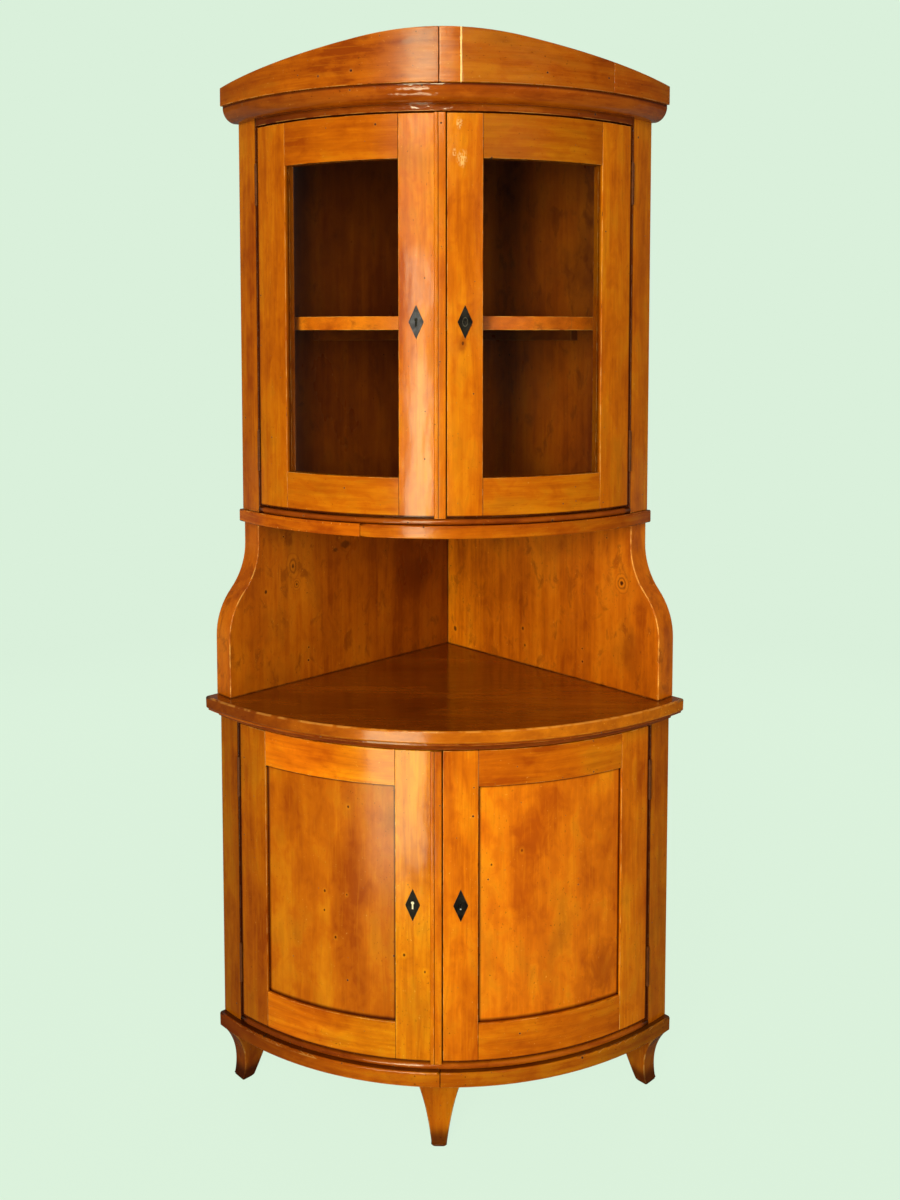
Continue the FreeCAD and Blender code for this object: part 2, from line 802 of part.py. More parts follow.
case_leaves = []
pins = []
for tier in (lower, upper):
    for pair in both_hands(tier, [hinge_leaf(z, 1) for z in tier.hinge_heights]):
        case_leaves += pair
    for pair in both_hands(tier, [hinge_pin(z) for z in tier.hinge_heights]):
        pins += pair
    right_leaves, left_leaves = both_hands(tier, [hinge_leaf(z, -1) for z in tier.hinge_heights])
    for hand, leaves in (("left", left_leaves), ("right", right_leaves)):
        door = Door(tier, hand)
        stiles, rails = door.frame()
        pieces[f"{door.name}_stiles"] = Part.makeCompound(stiles)
        pieces[f"{door.name}_rails"] = Part.makeCompound(rails)
        pieces[f"{door.name}_{tier.infill_name}"] = door.infill(groove_clearance / 2, panel_edge_clearance)
        pieces[f"{door.name}_keyhole_plate"] = door.keyhole_plate()
        pieces[f"{door.name}_hinge_leaves"] = Part.makeCompound(leaves)
        if hand == "left":
            pieces[f"{door.name}_cover_strip"] = door.cover_strip()
            pieces[f"{door.name}_bolt_plate"], pieces[f"{door.name}_bolt"] = door.door_bolt()
        else:
            pieces[f"{door.name}_lock_case"], pieces[f"{door.name}_lock_bolt"] = door.lock()
            print(f"{tier.name} lock bolt angle {door.lock_angle:.4f} degrees")
    pin = on_front(Part.Vertex(0, 0, 0), tier, tier.hinge_angle, tier.front + hinge_proud).Point
    print(f"{tier.name} right hinge pin x {pin.x:.4f} y {pin.y + worktop_radius / 2:.4f} mm")
pieces["frame_hinge_leaves"] = Part.makeCompound(case_leaves)
pieces["hinge_pins"] = Part.makeCompound(pins)

os.makedirs("parts", exist_ok=True)
for name, shape in pieces.items():
    placed = moved(shape, y=worktop_radius / 2)
    assert placed.isValid(), name
    placed.exportStep(f"parts/{name}.step")
    print(name, len(placed.Solids), f"{placed.Volume / 1000:.1f} cm3")
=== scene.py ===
"""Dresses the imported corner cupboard: aged varnished fruitwood, old window glass and blackened iron."""

import json
import logging
import math
from dataclasses import dataclass, field
from enum import Enum
from typing import Callable, Dict, List, Mapping, Optional, Sequence, Tuple, Union

import bmesh
import bpy
from mathutils import Matrix, Vector


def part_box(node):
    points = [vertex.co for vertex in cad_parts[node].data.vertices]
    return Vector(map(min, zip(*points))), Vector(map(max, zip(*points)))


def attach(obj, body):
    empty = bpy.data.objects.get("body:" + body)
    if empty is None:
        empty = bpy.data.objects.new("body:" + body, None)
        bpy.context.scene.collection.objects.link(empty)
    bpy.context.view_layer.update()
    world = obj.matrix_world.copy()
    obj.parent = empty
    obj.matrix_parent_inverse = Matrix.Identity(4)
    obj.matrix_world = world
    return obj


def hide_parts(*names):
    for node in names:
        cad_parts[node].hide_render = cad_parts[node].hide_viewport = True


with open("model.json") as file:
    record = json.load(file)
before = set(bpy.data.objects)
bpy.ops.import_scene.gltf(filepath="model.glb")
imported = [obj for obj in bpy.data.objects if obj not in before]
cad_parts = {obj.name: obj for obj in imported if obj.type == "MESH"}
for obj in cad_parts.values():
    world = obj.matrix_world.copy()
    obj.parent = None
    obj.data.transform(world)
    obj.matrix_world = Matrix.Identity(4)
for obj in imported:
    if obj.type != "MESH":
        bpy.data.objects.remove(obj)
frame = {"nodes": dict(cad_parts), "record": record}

LOG = logging.getLogger("corner_cupboard")

Colour = Tuple[float, float, float]
Triple = Tuple[float, float, float]
Number = Union[float, "Signal"]


def tone(red: int, green: int, blue: int) -> Colour:
    """A display colour from 0 to 255, as the linear colour that shaders take.

    Args:
        red: Red on the display.
        green: Green on the display.
        blue: Blue on the display.

    Returns:
        The linear red, green and blue, from 0 to 1.
    """
    shares = (value / 255.0 for value in (red, green, blue))
    return tuple(share / 12.92 if share <= 0.04045 else ((share + 0.055) / 1.055) ** 2.4
                 for share in shares)


# Shader graphs
class Blend(Enum):
    """How an upper colour meets the one below it."""

    MIX = "MIX"
    MULTIPLY = "MULTIPLY"
    COLOR = "COLOR"


class Signal:
    """A shader socket that takes part in Python sums."""

    def __init__(self, graph: "Graph", socket: Optional[bpy.types.NodeSocket]) -> None:
        """Keeps the socket and the graph that it belongs to."""
        self.graph = graph
        self.socket = socket

    def other(self, name: str) -> "Signal":
        """Another output of the same node."""
        return Signal(self.graph, self.socket.node.outputs[name])

    def _sum(self, operation: str, first: Number, second: Number) -> "Signal":
        """A Math node on two values."""
        return self.graph.node("ShaderNodeMath", {"operation": operation}, {0: first, 1: second})

    def __add__(self, value: Number) -> "Signal":
        """This value plus another."""
        return self._sum("ADD", self, value)

    def __radd__(self, value: Number) -> "Signal":
        """Another value plus this one."""
        return self._sum("ADD", value, self)

    def __sub__(self, value: Number) -> "Signal":
        """This value less another."""
        return self._sum("SUBTRACT", self, value)

    def __rsub__(self, value: Number) -> "Signal":
        """Another value less this one."""
        return self._sum("SUBTRACT", value, self)

    def __mul__(self, value: Number) -> "Signal":
        """This value times another."""
        return self._sum("MULTIPLY", self, value)

    def __rmul__(self, value: Number) -> "Signal":
        """Another value times this one."""
        return self._sum("MULTIPLY", value, self)

    def __pow__(self, value: Number) -> "Signal":
        """This value to a power."""
        return self._sum("POWER", self, value)

    def __rpow__(self, value: Number) -> "Signal":
        """Another value to the power of this one."""
        return self._sum("POWER", value, self)

    def most(self, value: Number) -> "Signal":
        """The larger of this value and another."""
        return self._sum("MAXIMUM", self, value)

    def between(self, low: float, high: float) -> "Signal":
        """A soft step from 0 at low to 1 at high, where low may be the larger of the two."""
        return self.graph.node("ShaderNodeMapRange", {"interpolation_type": "SMOOTHSTEP"},
                               {"Value": self, "From Min": low, "From Max": high})


class Graph:
    """Builds one node tree."""

    def __init__(self, tree: bpy.types.NodeTree) -> None:
        """Starts from an empty tree."""
        self.tree = tree
        tree.nodes.clear()

    def node(self, kind: str, settings: Optional[Mapping[str, object]] = None,
             inputs: Optional[Mapping[Union[str, int], object]] = None,
             output: Union[str, int] = 0) -> Signal:
        """Adds a node.

        Args:
            kind: The node's type.
            settings: Its own settings, set before its sockets. The name stops stands for a ramp's stops.
            inputs: Values or signals by the name or number of the socket.
            output: The socket that the signal reads.

        Returns:
            The signal of the chosen output, or an empty one where the node has none.
        """
        made = self.tree.nodes.new(kind)
        for key, value in (settings or {}).items():
            if key == "stops":
                self._set_stops(made.color_ramp, value)
            else:
                setattr(made, key, value)
        for key, value in (inputs or {}).items():
            socket = made.inputs[key]
            if isinstance(value, Signal):
                self.tree.links.new(value.socket, socket)
            elif socket.type == "RGBA":
                socket.default_value = (*value, 1.0)
            else:
                socket.default_value = value
        return Signal(self, made.outputs[output] if made.outputs else None)

    @staticmethod
    def _set_stops(ramp: bpy.types.ColorRamp, stops: Sequence[Tuple[float, Colour]]) -> None:
        """Gives a ramp its stops.

        Args:
            ramp: The node's ramp, which has two stops when new.
            stops: Place and colour of each stop, in rising order.
        """
        while len(ramp.elements) < len(stops):
            ramp.elements.new(1.0)
        for element, (place, colour) in zip(ramp.elements, stops):
            element.position = place
            element.color = (*colour, 1.0)

    def vector(self, x: Number, y: Number, z: Number) -> Signal:
        """A vector from three values."""
        return self.node("ShaderNodeCombineXYZ", None, {"X": x, "Y": y, "Z": z})

    def attribute(self, name: str) -> Signal:
        """A value that the mesh carries on its faces."""
        return self.node("ShaderNodeAttribute", {"attribute_name": name}, None, "Fac")

    def tint(self, amount: Number, base: object, over: object, blend: Blend = Blend.MIX) -> Signal:
        """Lays one colour over another.

        Args:
            amount: How much of the upper colour shows, from 0 to 1.
            base: The colour or signal below.
            over: The colour or signal above.
            blend: How the two meet.

        Returns:
            The mixed colour.
        """
        return self.node("ShaderNodeMix", {"data_type": "RGBA", "blend_type": blend.value},
                         {0: amount, 6: base, 7: over}, 2)

    def noise(self, point: Signal, scale: Triple, detail: float = 2.0, roughness: float = 0.55,
              warp: float = 0.0) -> Signal:
        """Soft random values in space.

        Args:
            point: Where to read them, in metres.
            scale: Features to the metre along each axis.
            detail: How many finer layers are added.
            roughness: How strong the finer layers are.
            warp: How far the pattern is pulled about.

        Returns:
            Values about 0.5.
        """
        place = self.node("ShaderNodeMapping", None, {"Vector": point, "Scale": scale})
        return self.node("ShaderNodeTexNoise", None, {"Vector": place, "Scale": 1.0, "Detail": detail,
                                                      "Roughness": roughness, "Distortion": warp})

    def surface(self, shader: Signal) -> None:
        """Ends a material's tree with its shader."""
        self.node("ShaderNodeOutputMaterial", None, {"Surface": shader})


def new_material(name: str) -> Tuple[bpy.types.Material, Graph]:
    """An empty material and the graph that fills it.

    Args:
        name: The material's name.

    Returns:
        The material and its graph.
    """
    material = bpy.data.materials.new(name)
    material.use_nodes = True
    return material, Graph(material.node_tree)


# How the cupboard's timber lies, and what marks it
class Tier(Enum):
    """Which of the two cupboards a piece belongs to."""

    LOWER = "lower"
    UPPER = "upper"


class Hand(Enum):
    """The side on which a piece lies, seen from the front."""

    LEFT = "left"
    RIGHT = "right"


@dataclass(frozen=True)
class Bow:
    """The plan arc that a tier's front follows, about an upright axis on the middle line."""

    centre_y: float
    radius: float

    def angle(self, point: Vector) -> float:
        """Degrees round the axis from straight ahead, to the right."""
        return math.degrees(math.atan2(point.x, self.centre_y - point.y))

    def reach(self, point: Vector) -> float:
        """Distance from the axis."""
        return math.hypot(point.x, self.centre_y - point.y)

    def arc(self, degrees: float) -> float:
        """Length along the front from straight ahead."""
        return math.radians(degrees) * self.radius

    def cut(self, degrees: float) -> Tuple[Vector, Vector]:
        """Point and normal of the upright plane through the axis at an angle."""
        turn = math.radians(degrees)
        return Vector((0.0, self.centre_y, 0.0)), Vector((math.cos(turn), math.sin(turn), 0.0))


class Grain(Enum):
    """How the timber of a piece lies."""

    UPRIGHT = "upright, on the bowed front"
    ROUND = "round the bowed front"
    LEFT_WALL = "upright, on the left wall"
    RIGHT_WALL = "upright, on the right wall"
    LEVEL = "level, from side to side"
    POST = "upright, on a post"


class Along(Enum):
    """The way in which a zone of a piece is measured."""

    ACROSS = 0
    DEPTH = 1
    LENGTH = 2
    REACH = 3


class MarkKind(Enum):
    """What a mark in the timber is."""

    KNOT = "a ringed knot"
    EYE = "a pin knot with a pale ring"
    STAIN = "a soft dark patch"
    SCAR = "a dark scorched patch or a nail hole"
    # Pale patches: worn filler on the fascia, and painted highlights on the upper right door
    SCUFF_AND_GLINT = "a pale scraped patch"


@dataclass(frozen=True)
class Mark:
    """One mark in the timber, placed across and along the grain, in metres."""

    kind: MarkKind
    across: float
    length: float
    size: float
    stretch: float = 1.3
    strength: float = 1.0


@dataclass(frozen=True)
class Zone:
    """A part of a piece with its own tone, which sets in between two places: the timber's own tone in some
    zones, painted light and shade in others.
    """

    by: Along
    low: float
    high: float
    colour: Colour
    blend: Blend = Blend.MULTIPLY
    amount: float = 1.0
    within: Tuple[Tuple[Along, float, float], ...] = ()
    broken: bool = False

    def strength(self, ways: Sequence[Signal], flakes: Signal) -> Signal:
        """How strongly the zone shows at a place.

        Args:
            ways: The piece's own ways, in the order of Along.
            flakes: 1 where a broken zone shows and 0 where it is gone.

        Returns:
            The strength, from 0 to the zone's amount.
        """
        strength = ways[self.by.value].between(self.low, self.high) * self.amount
        for way, low, high in self.within:
            strength = strength * ways[way.value].between(low, high)
        return strength * flakes if self.broken else strength


# Finishes
@dataclass(frozen=True)
class Figure:
    """The layers of the timber: how fine each is, to the metre across, into and along the grain."""

    bend: Triple = (5.0, 5.0, 1.4)
    band: Triple = (14.0, 8.0, 1.6)
    streak: Triple = (90.0, 50.0, 5.0)
    line: Triple = (300.0, 150.0, 12.0)
    cloud: Triple = (8.0, 8.0, 4.5)
    mottle: Triple = (36.0, 36.0, 20.0)
    speck: Triple = (330.0, 330.0, 210.0)
    rub: Triple = (55.0, 55.0, 38.0)
    lumps: Triple = (24.0, 24.0, 9.0)
    dents: Triple = (85.0, 85.0, 40.0)
    swell: Triple = (7.0, 7.0, 6.0)
    rings: float = 85.0
    worm_cells: float = 34.0
    band_share: float = 0.28
    mottle_share: float = 0.20
    fine_share: float = 0.52
    seed_across: float = 0.731
    seed_along: float = 1.373
    relief: float = 0.0005


FIGURE = Figure()


@dataclass(frozen=True)
class WoodFinish:
    """Old fruitwood under shellac: figure, streaks, darker clouds, worm holes and worn arrises."""

    name: str
    pale: Colour = tone(242, 147, 12)
    mid: Colour = tone(213, 110, 3)
    dark: Colour = tone(172, 75, 2)
    burnt: Colour = tone(150, 62, 2)
    deep: Colour = tone(62, 18, 3)
    bare: Colour = tone(244, 172, 74)
    cream: Colour = tone(255, 224, 144)
    waver: float = 0.022
    flame: float = 0.16
    streaks: float = 0.18
    plain: float = 0.34
    clouds: float = 0.60
    blotch: float = 0.22
    worm: float = 0.87
    wear: float = 0.6
    sway: float = 8.0
    lumps: float = 2.2
    dents: float = 0.3
    roughness: float = 0.17
    specular: float = 0.42

    def material(self, label: str, grain: Grain, bow: Bow, marks: Sequence[Mark] = (),
                 zones: Sequence[Zone] = ()) -> bpy.types.Material:
        """Makes the finish for one way of the grain.

        Args:
            label: What is added to the finish's name.
            grain: How the timber lies.
            bow: The arc that the piece follows.
            marks: Knots and stains at set places.
            zones: Parts with a tone of their own, some of them painted light and shade.

        Returns:
            The material.
        """
        material, graph = new_material(f"{self.name}_{label}")
        across, depth, length, reach = self._axes(graph, grain, bow)
        # Layers of figure, cut from the piece's own place in the timber
        seed = graph.attribute("seed")
        own_across = across + seed * FIGURE.seed_across
        own_length = length + seed * FIGURE.seed_along
        point = graph.vector(own_across, depth, own_length)
        bend = graph.noise(point, FIGURE.bend) - 0.5
        lie = graph.vector(own_across + bend * self.waver, depth, own_length)
        band = graph.noise(lie, FIGURE.band, 3.0, 0.5)
        streak = graph.noise(lie, FIGURE.streak, 3.0, 0.6)
        line = graph.noise(lie, FIGURE.line, 2.0)
        cloud = graph.noise(point, FIGURE.cloud, 4.0, 0.62)
        mottle = graph.noise(point, FIGURE.mottle, 4.0, 0.65, 0.6)
        speck = graph.noise(point, FIGURE.speck, 1.0)
        ring = graph.node("ShaderNodeMath", {"operation": "SINE"}, {0: band * FIGURE.rings})

        # Colour of the figure and of the old varnish
        figure = band * FIGURE.band_share + cloud * self.plain + mottle * FIGURE.mottle_share
        figure = figure + streak * (FIGURE.fine_share - self.plain)
        stops = ((0.41, self.dark), (0.5, self.mid), (0.59, self.pale))
        colour = graph.node("ShaderNodeValToRGB", {"stops": stops}, {"Fac": figure})
        flame = ring.between(0.1, 1.0) * mottle.between(0.35, 0.6) * self.flame
        colour = graph.tint(flame, colour, self.burnt)
        colour = graph.tint(streak.between(0.55, 0.72) * self.streaks, colour, self.dark)
        colour = graph.tint(line.between(0.56, 0.68) * self.streaks, colour, self.dark)
        colour = graph.tint(line.between(0.42, 0.32) * 0.15, colour, self.pale)
        colour = graph.tint(cloud.between(0.50, 0.76) * self.clouds, colour, self.burnt)
        colour = graph.tint(mottle.between(0.52, 0.68) * self.blotch, colour, self.burnt)
        colour = graph.tint(speck.between(0.70, 0.78) * cloud.between(0.42, 0.6) * 0.7, colour, self.deep)
        colour = graph.tint(speck.between(0.29, 0.22) * mottle.between(0.5, 0.6) * 0.5, colour, self.bare)

        # Marks at set places, and worm holes
        for mark in marks:
            colour = self._mark(graph, colour, mark, (across, length), (mottle, speck))
        hole, rim = self._worm_holes(graph, across, length)
        # Painted highlight on the rims of the worm holes
        colour = graph.tint(rim * 0.08, colour, self.bare)
        colour = graph.tint(hole * 0.96, colour, self.deep)

        # Worn, nicked, grimy or filled edges, the darkest of them painted shade in gaps; then the piece's
        # own shade and zones, some of which are painted light and shade
        arris = graph.attribute("arris")
        rub = graph.noise(point, FIGURE.rub, 3.0)
        worn = arris.most(0.0) * rub.between(0.62, 0.38)
        nick = arris.most(0.0) * rub.between(0.63, 0.70)
        colour = graph.tint(worn * self.wear, colour, self.bare)
        colour = graph.tint(nick * 0.75 + (0.0 - arris).most(0.0), colour, self.deep)
        colour = graph.tint((arris + speck * 0.4).between(1.35, 1.6), colour, self.cream)
        colour = graph.tint(1.0, colour, graph.attribute("shade"), Blend.MULTIPLY)
        ways = (across, depth, length, reach)
        flakes = rub.between(0.40, 0.54)
        for zone in zones:
            colour = graph.tint(zone.strength(ways, flakes), colour, zone.colour, zone.blend)

        # Gloss and relief
        gloss = self.roughness + (cloud - 0.5) * 0.16 + worn * 0.15 + hole * 0.7
        lumps = graph.noise(point, FIGURE.lumps, 2.0)
        dents = graph.noise(point, FIGURE.dents, 2.0)
        swell = graph.noise(point, FIGURE.swell, 1.0) * self.sway
        swell = swell + lumps * self.lumps + dents * self.dents
        height = swell + line * 0.05 - hole * 0.3 - nick * 0.4
        bump = graph.node("ShaderNodeBump", None,
                          {"Strength": 1.0, "Distance": FIGURE.relief, "Height": height})
        graph.surface(graph.node("ShaderNodeBsdfPrincipled", None, {
            "Base Color": colour, "Roughness": gloss, "Normal": bump, "Specular IOR Level": self.specular}))
        return material

    @staticmethod
    def _axes(graph: Graph, grain: Grain, bow: Bow) -> Tuple[Signal, Signal, Signal, Signal]:
        """The piece's own ways, read from Object coordinates.

        Args:
            graph: The material's graph.
            grain: How the timber lies.
            bow: The arc that the piece follows.

        Returns:
            Across the grain, into the face, along the grain, and the reach from the bow's axis, in metres.
        """
        place = graph.node("ShaderNodeTexCoord", None, None, "Object")
        x = graph.node("ShaderNodeSeparateXYZ", None, {"Vector": place})
        y, z = x.other("Y"), x.other("Z")
        ahead = bow.centre_y - y
        reach = (x * x + ahead * ahead) ** 0.5
        if grain in (Grain.UPRIGHT, Grain.ROUND):
            arc = graph.node("ShaderNodeMath", {"operation": "ARCTAN2"}, {0: x, 1: ahead}) * bow.radius
            return (arc, reach, z, reach) if grain is Grain.UPRIGHT else (z, reach, arc, reach)
        if grain in (Grain.LEFT_WALL, Grain.RIGHT_WALL):
            out = x if grain is Grain.RIGHT_WALL else 0.0 - x
            back = LOWER_BOW.centre_y - y
            return (out + back) * math.sqrt(0.5), (back - out) * math.sqrt(0.5), z, reach
        if grain is Grain.LEVEL:
            return y, z, x, reach
        return x, y, z, reach

    def _mark(self, graph: Graph, colour: Signal, mark: Mark, place: Tuple[Signal, Signal],
              rough: Tuple[Signal, Signal]) -> Signal:
        """Lays one mark over the colour.

        Args:
            graph: The material's graph.
            colour: The colour so far.
            mark: The mark.
            place: Places across and along the grain.
            rough: Coarse and fine random values, which make the mark uneven.

        Returns:
            The colour with the mark.
        """
        side = (place[0] - mark.across) * (1.0 / mark.size)
        rise = (place[1] - mark.length) * (1.0 / (mark.size * mark.stretch))
        away = (side * side + rise * rise) ** 0.5 + (rough[0] - 0.5) * 1.5
        if mark.kind is MarkKind.STAIN:
            return graph.tint(away.between(1.0, 0.2) * (0.6 * mark.strength), colour, self.burnt)
        if mark.kind is MarkKind.SCAR:
            return graph.tint(away.between(1.0, 0.5) * (0.7 * mark.strength), colour, self.deep)
        # Pale flakes: worn filler, and painted highlights where they stand in for glints
        if mark.kind is MarkKind.SCUFF_AND_GLINT:
            flakes = away.between(1.0, 0.4) * rough[1].between(0.42, 0.55) * mark.strength
            return graph.tint(flakes, colour, self.cream)
        if mark.kind is MarkKind.EYE:
            colour = graph.tint(away.between(2.6, 0.9) * 0.30, colour, self.pale)
            return graph.tint(away.between(0.85, 0.45) * 0.85, colour, self.deep)
        rings = graph.node("ShaderNodeMath", {"operation": "SINE"}, {0: away * 7.0})
        colour = graph.tint(away.between(2.8, 0.8) * (0.45 * mark.strength), colour, self.pale)
        grown = away.between(3.4, 1.0) * rings.between(0.0, 0.9)
        colour = graph.tint(grown * (0.42 * mark.strength), colour, self.burnt)
        edge = away.between(1.25, 1.0) * away.between(0.72, 0.9)
        colour = graph.tint(edge * (0.32 * mark.strength), colour, self.deep)
        return graph.tint(away.between(0.62, 0.20) * (0.8 * mark.strength), colour, self.deep)

    def _worm_holes(self, graph: Graph, across: Signal, length: Signal) -> Tuple[Signal, Signal]:
        """Small round holes with pale rims, the rims a painted highlight on the hole's edge, in a few of
        the cells of a random pattern.

        Args:
            graph: The material's graph.
            across: Place across the grain.
            length: Place along the grain.

        Returns:
            Two masks, 1 in a hole and 1 on its rim, where a highlight is painted.
        """
        place = graph.vector(across, length, 0.0)
        cell = graph.node("ShaderNodeTexVoronoi", {"voronoi_dimensions": "2D"},
                          {"Vector": place, "Scale": FIGURE.worm_cells})
        chosen = graph.node("ShaderNodeSeparateColor", None, {"Color": cell.other("Color")})
        wide = chosen.other("Green") ** 3.0 * 0.050 + 0.030
        chance = chosen.between(self.worm, self.worm + 0.01)
        hole = (wide - cell).between(0.0, 0.016) * chance
        return hole, (wide * 2.2 - cell).between(0.0, 0.05) * chance


@dataclass(frozen=True)
class IronFinish:
    """Old flat hardware: uneven dark metal, brighter where it is handled."""

    name: str
    colour: Colour
    worn: Colour
    roughness: float = 0.42
    metal: float = 0.7
    specular: float = 0.4
    patches: Triple = (60.0, 60.0, 60.0)
    grit: Triple = (900.0, 900.0, 900.0)
    relief: float = 0.0003

    def material(self) -> bpy.types.Material:
        """Makes the metal, with handled edges from the mesh's arris value.

        Returns:
            The material.
        """
        material, graph = new_material(self.name)
        place = graph.node("ShaderNodeTexCoord", None, None, "Object")
        patch = graph.noise(place, self.patches, 4.0, 0.6)
        grit = graph.noise(place, self.grit, 2.0)
        edge = graph.attribute("arris").most(0.0) * patch.between(0.40, 0.62)
        colour = graph.tint(patch.between(0.42, 0.70) * 0.45 + edge * 0.7, self.colour, self.worn)
        bump = graph.node("ShaderNodeBump", None, {"Strength": 0.6, "Distance": self.relief,
                                                   "Height": patch + grit * 0.25})
        gloss = self.roughness + (patch - 0.5) * 0.3 - edge * 0.1
        graph.surface(graph.node("ShaderNodeBsdfPrincipled", None, {
            "Base Color": colour, "Metallic": self.metal, "Roughness": gloss, "Normal": bump,
            "Specular IOR Level": self.specular}))
        return material


@dataclass(frozen=True)
class GlassFinish:
    """Clear old window glass, a little wavy."""

    name: str
    tint: Colour = (0.965, 0.975, 0.955)
    ripple: float = 0.0005
    roughness: float = 0.03
    refraction: float = 1.45
    shine: float = 0.25
    waves: Triple = (9.0, 9.0, 5.0)

    def material(self) -> bpy.types.Material:
        """Makes the glass: it lets light straight through and shines by its angle.

        Returns:
            The material.
        """
        material, graph = new_material(self.name)
        place = graph.node("ShaderNodeTexCoord", None, None, "Object")
        wave = graph.noise(place, self.waves, 2.0)
        bump = graph.node("ShaderNodeBump", None,
                          {"Strength": 0.5, "Distance": self.ripple, "Height": wave})
        clear = graph.node("ShaderNodeBsdfTransparent", None, {"Color": self.tint})
        shine = graph.node("ShaderNodeBsdfGlossy", None,
                           {"Color": (1.0, 1.0, 1.0), "Roughness": self.roughness, "Normal": bump})
        angle = graph.node("ShaderNodeFresnel", None, {"IOR": self.refraction, "Normal": bump})
        graph.surface(graph.node("ShaderNodeMixShader", None, {0: angle * self.shine, 1: clear, 2: shine}))
        return material


# Arcs, finishes and tones in use
LOWER_BOW = Bow(centre_y=0.325, radius=0.617)
UPPER_BOW = Bow(centre_y=0.235, radius=0.5004)

FRAME_WOOD = WoodFinish("frame_wood")
RAIL_WOOD = WoodFinish("rail_wood", mid=tone(209, 106, 3), dark=tone(168, 72, 2))
PLINTH_WOOD = WoodFinish(
    "plinth_wood", mid=tone(205, 102, 4), dark=tone(158, 66, 3), worm=0.70, dents=0.7)
PANEL_WOOD = WoodFinish(
    "panel_wood", flame=0.12, streaks=0.06, plain=0.46, clouds=0.7, waver=0.03, sway=4.0, lumps=1.2,
    roughness=0.23)
CORNICE_WOOD = WoodFinish(
    "cornice_wood", pale=tone(236, 144, 22), mid=tone(204, 104, 5), dark=tone(150, 62, 3),
    cream=(1.5, 1.02, 0.36), clouds=0.8, dents=0.7, worm=0.72, roughness=0.22)
MOULDING_WOOD = WoodFinish(
    "moulding_wood", pale=tone(192, 100, 12), mid=tone(152, 68, 4), dark=tone(112, 42, 3),
    burnt=tone(104, 36, 4), roughness=0.10, lumps=3.0, dents=1.8, specular=0.7, wear=0.5, worm=0.76)
BOARD_WOOD = WoodFinish(
    "board_wood", pale=tone(216, 120, 12), mid=tone(190, 94, 4), dark=tone(150, 64, 2),
    burnt=tone(122, 46, 2), flame=0.10, streaks=0.08, blotch=0.6, clouds=0.85, sway=4.0, lumps=1.2,
    roughness=0.30)
WORKTOP_WOOD = WoodFinish(
    "worktop_wood", pale=tone(164, 80, 8), mid=tone(136, 60, 4), dark=tone(112, 44, 3),
    burnt=tone(100, 36, 3), streaks=0.15, sway=1.0, lumps=1.6, dents=0.5, roughness=0.15, specular=0.6,
    worm=0.97)
RAW_TIMBER: Colour = tone(142, 106, 70)
RAW_BACK = Zone(Along.DEPTH, 0.0014, 0.0004, RAW_TIMBER, Blend.COLOR, 0.85)
# Painted shade, for gaps and recesses that lie in shade: hinge gaps, door feet, panel edges and the glass
# reveal
PAINTED_SHADE: Colour = (0.16, 0.10, 0.08)

BLACK_IRON = IronFinish("black_iron", tone(24, 22, 21), tone(70, 66, 62))
GREY_STEEL = IronFinish("grey_steel", tone(54, 54, 64), tone(116, 116, 128), roughness=0.38, metal=0.85)
BROWN_IRON = IronFinish("browned_iron", tone(84, 40, 10), tone(120, 62, 14), roughness=0.5, metal=0.0)
# Steel for the lock's pin: its pale colour is partly a painted glint
STEEL_AND_GLINT = IronFinish(
    "steel_and_painted_glint", tone(214, 210, 200), tone(236, 232, 222), roughness=0.3, metal=0.3)
# Bone for the lower left keyhole's lining: its pale colour is partly painted reflection from inside the
# hole
BONE_AND_REFLECTION = IronFinish("bone_lining_and_painted_reflection", tone(226, 218, 182), tone(242, 236, 206), roughness=0.5, metal=0.0)
LOCK_STEEL = IronFinish("lock_steel", tone(84, 78, 70), tone(142, 134, 120), roughness=0.4, metal=0.85)
WINDOW_GLASS = GlassFinish("window_glass")

# How far behind a front a tone begins, and where it is full
LEDGE_LINE = (0.002, 0.0035)
SHELF_LINE = (0.004, 0.012)
BACK_LINE = (0.003, 0.005)

# Wear of an edge, from grime and painted shade to bare timber
GRIME_AND_SHADE = -0.9
WORN = 0.8
WELL_WORN = 0.9

MERGE_DISTANCE = 1e-6
EdgeRule = Callable[[Vector], float]
Shaping = Callable[[bmesh.types.BMesh], None]


# Work on meshes
def set_back(front: float, line: Tuple[float, float], colour: Colour) -> Zone:
    """A tone that sets in a little behind a bowed front.

    Args:
        front: The front's reach from the bow's axis.
        line: How far behind the front the tone begins, and where it is full.
        colour: The tone.

    Returns:
        The zone.
    """
    start, full = line
    return Zone(Along.REACH, front - start, front - full, colour)


def round_edges(mesh: bmesh.types.BMesh, edges: List[bmesh.types.BMEdge], width: float, segments: int,
                clamp: bool = True) -> List[bmesh.types.BMFace]:
    """Rounds edges off.

    Args:
        mesh: The piece.
        edges: The edges.
        width: Width of the rounding in metres.
        segments: Faces across the rounding.
        clamp: Whether the width gives way where there is no room.

    Returns:
        The new faces.
    """
    made = bmesh.ops.bevel(mesh, geom=edges, offset=width, offset_type="OFFSET", segments=segments,
                           profile=0.5, affect="EDGES", material=-1, clamp_overlap=clamp)
    return made["faces"]


def cut_upright(mesh: bmesh.types.BMesh, bow: Bow, degrees: float) -> List[bmesh.types.BMEdge]:
    """Cuts the faces of a mesh along an upright plane through a bow's axis.

    Args:
        mesh: The piece.
        bow: The arc that it follows.
        degrees: The plane's angle from straight ahead.

    Returns:
        The edges that lie on the cut.
    """
    point, normal = bow.cut(degrees)
    made = bmesh.ops.bisect_plane(mesh, geom=[*mesh.verts, *mesh.edges, *mesh.faces], dist=MERGE_DISTANCE,
                                  plane_co=point, plane_no=normal)
    return [item for item in made["geom_cut"] if isinstance(item, bmesh.types.BMEdge)]


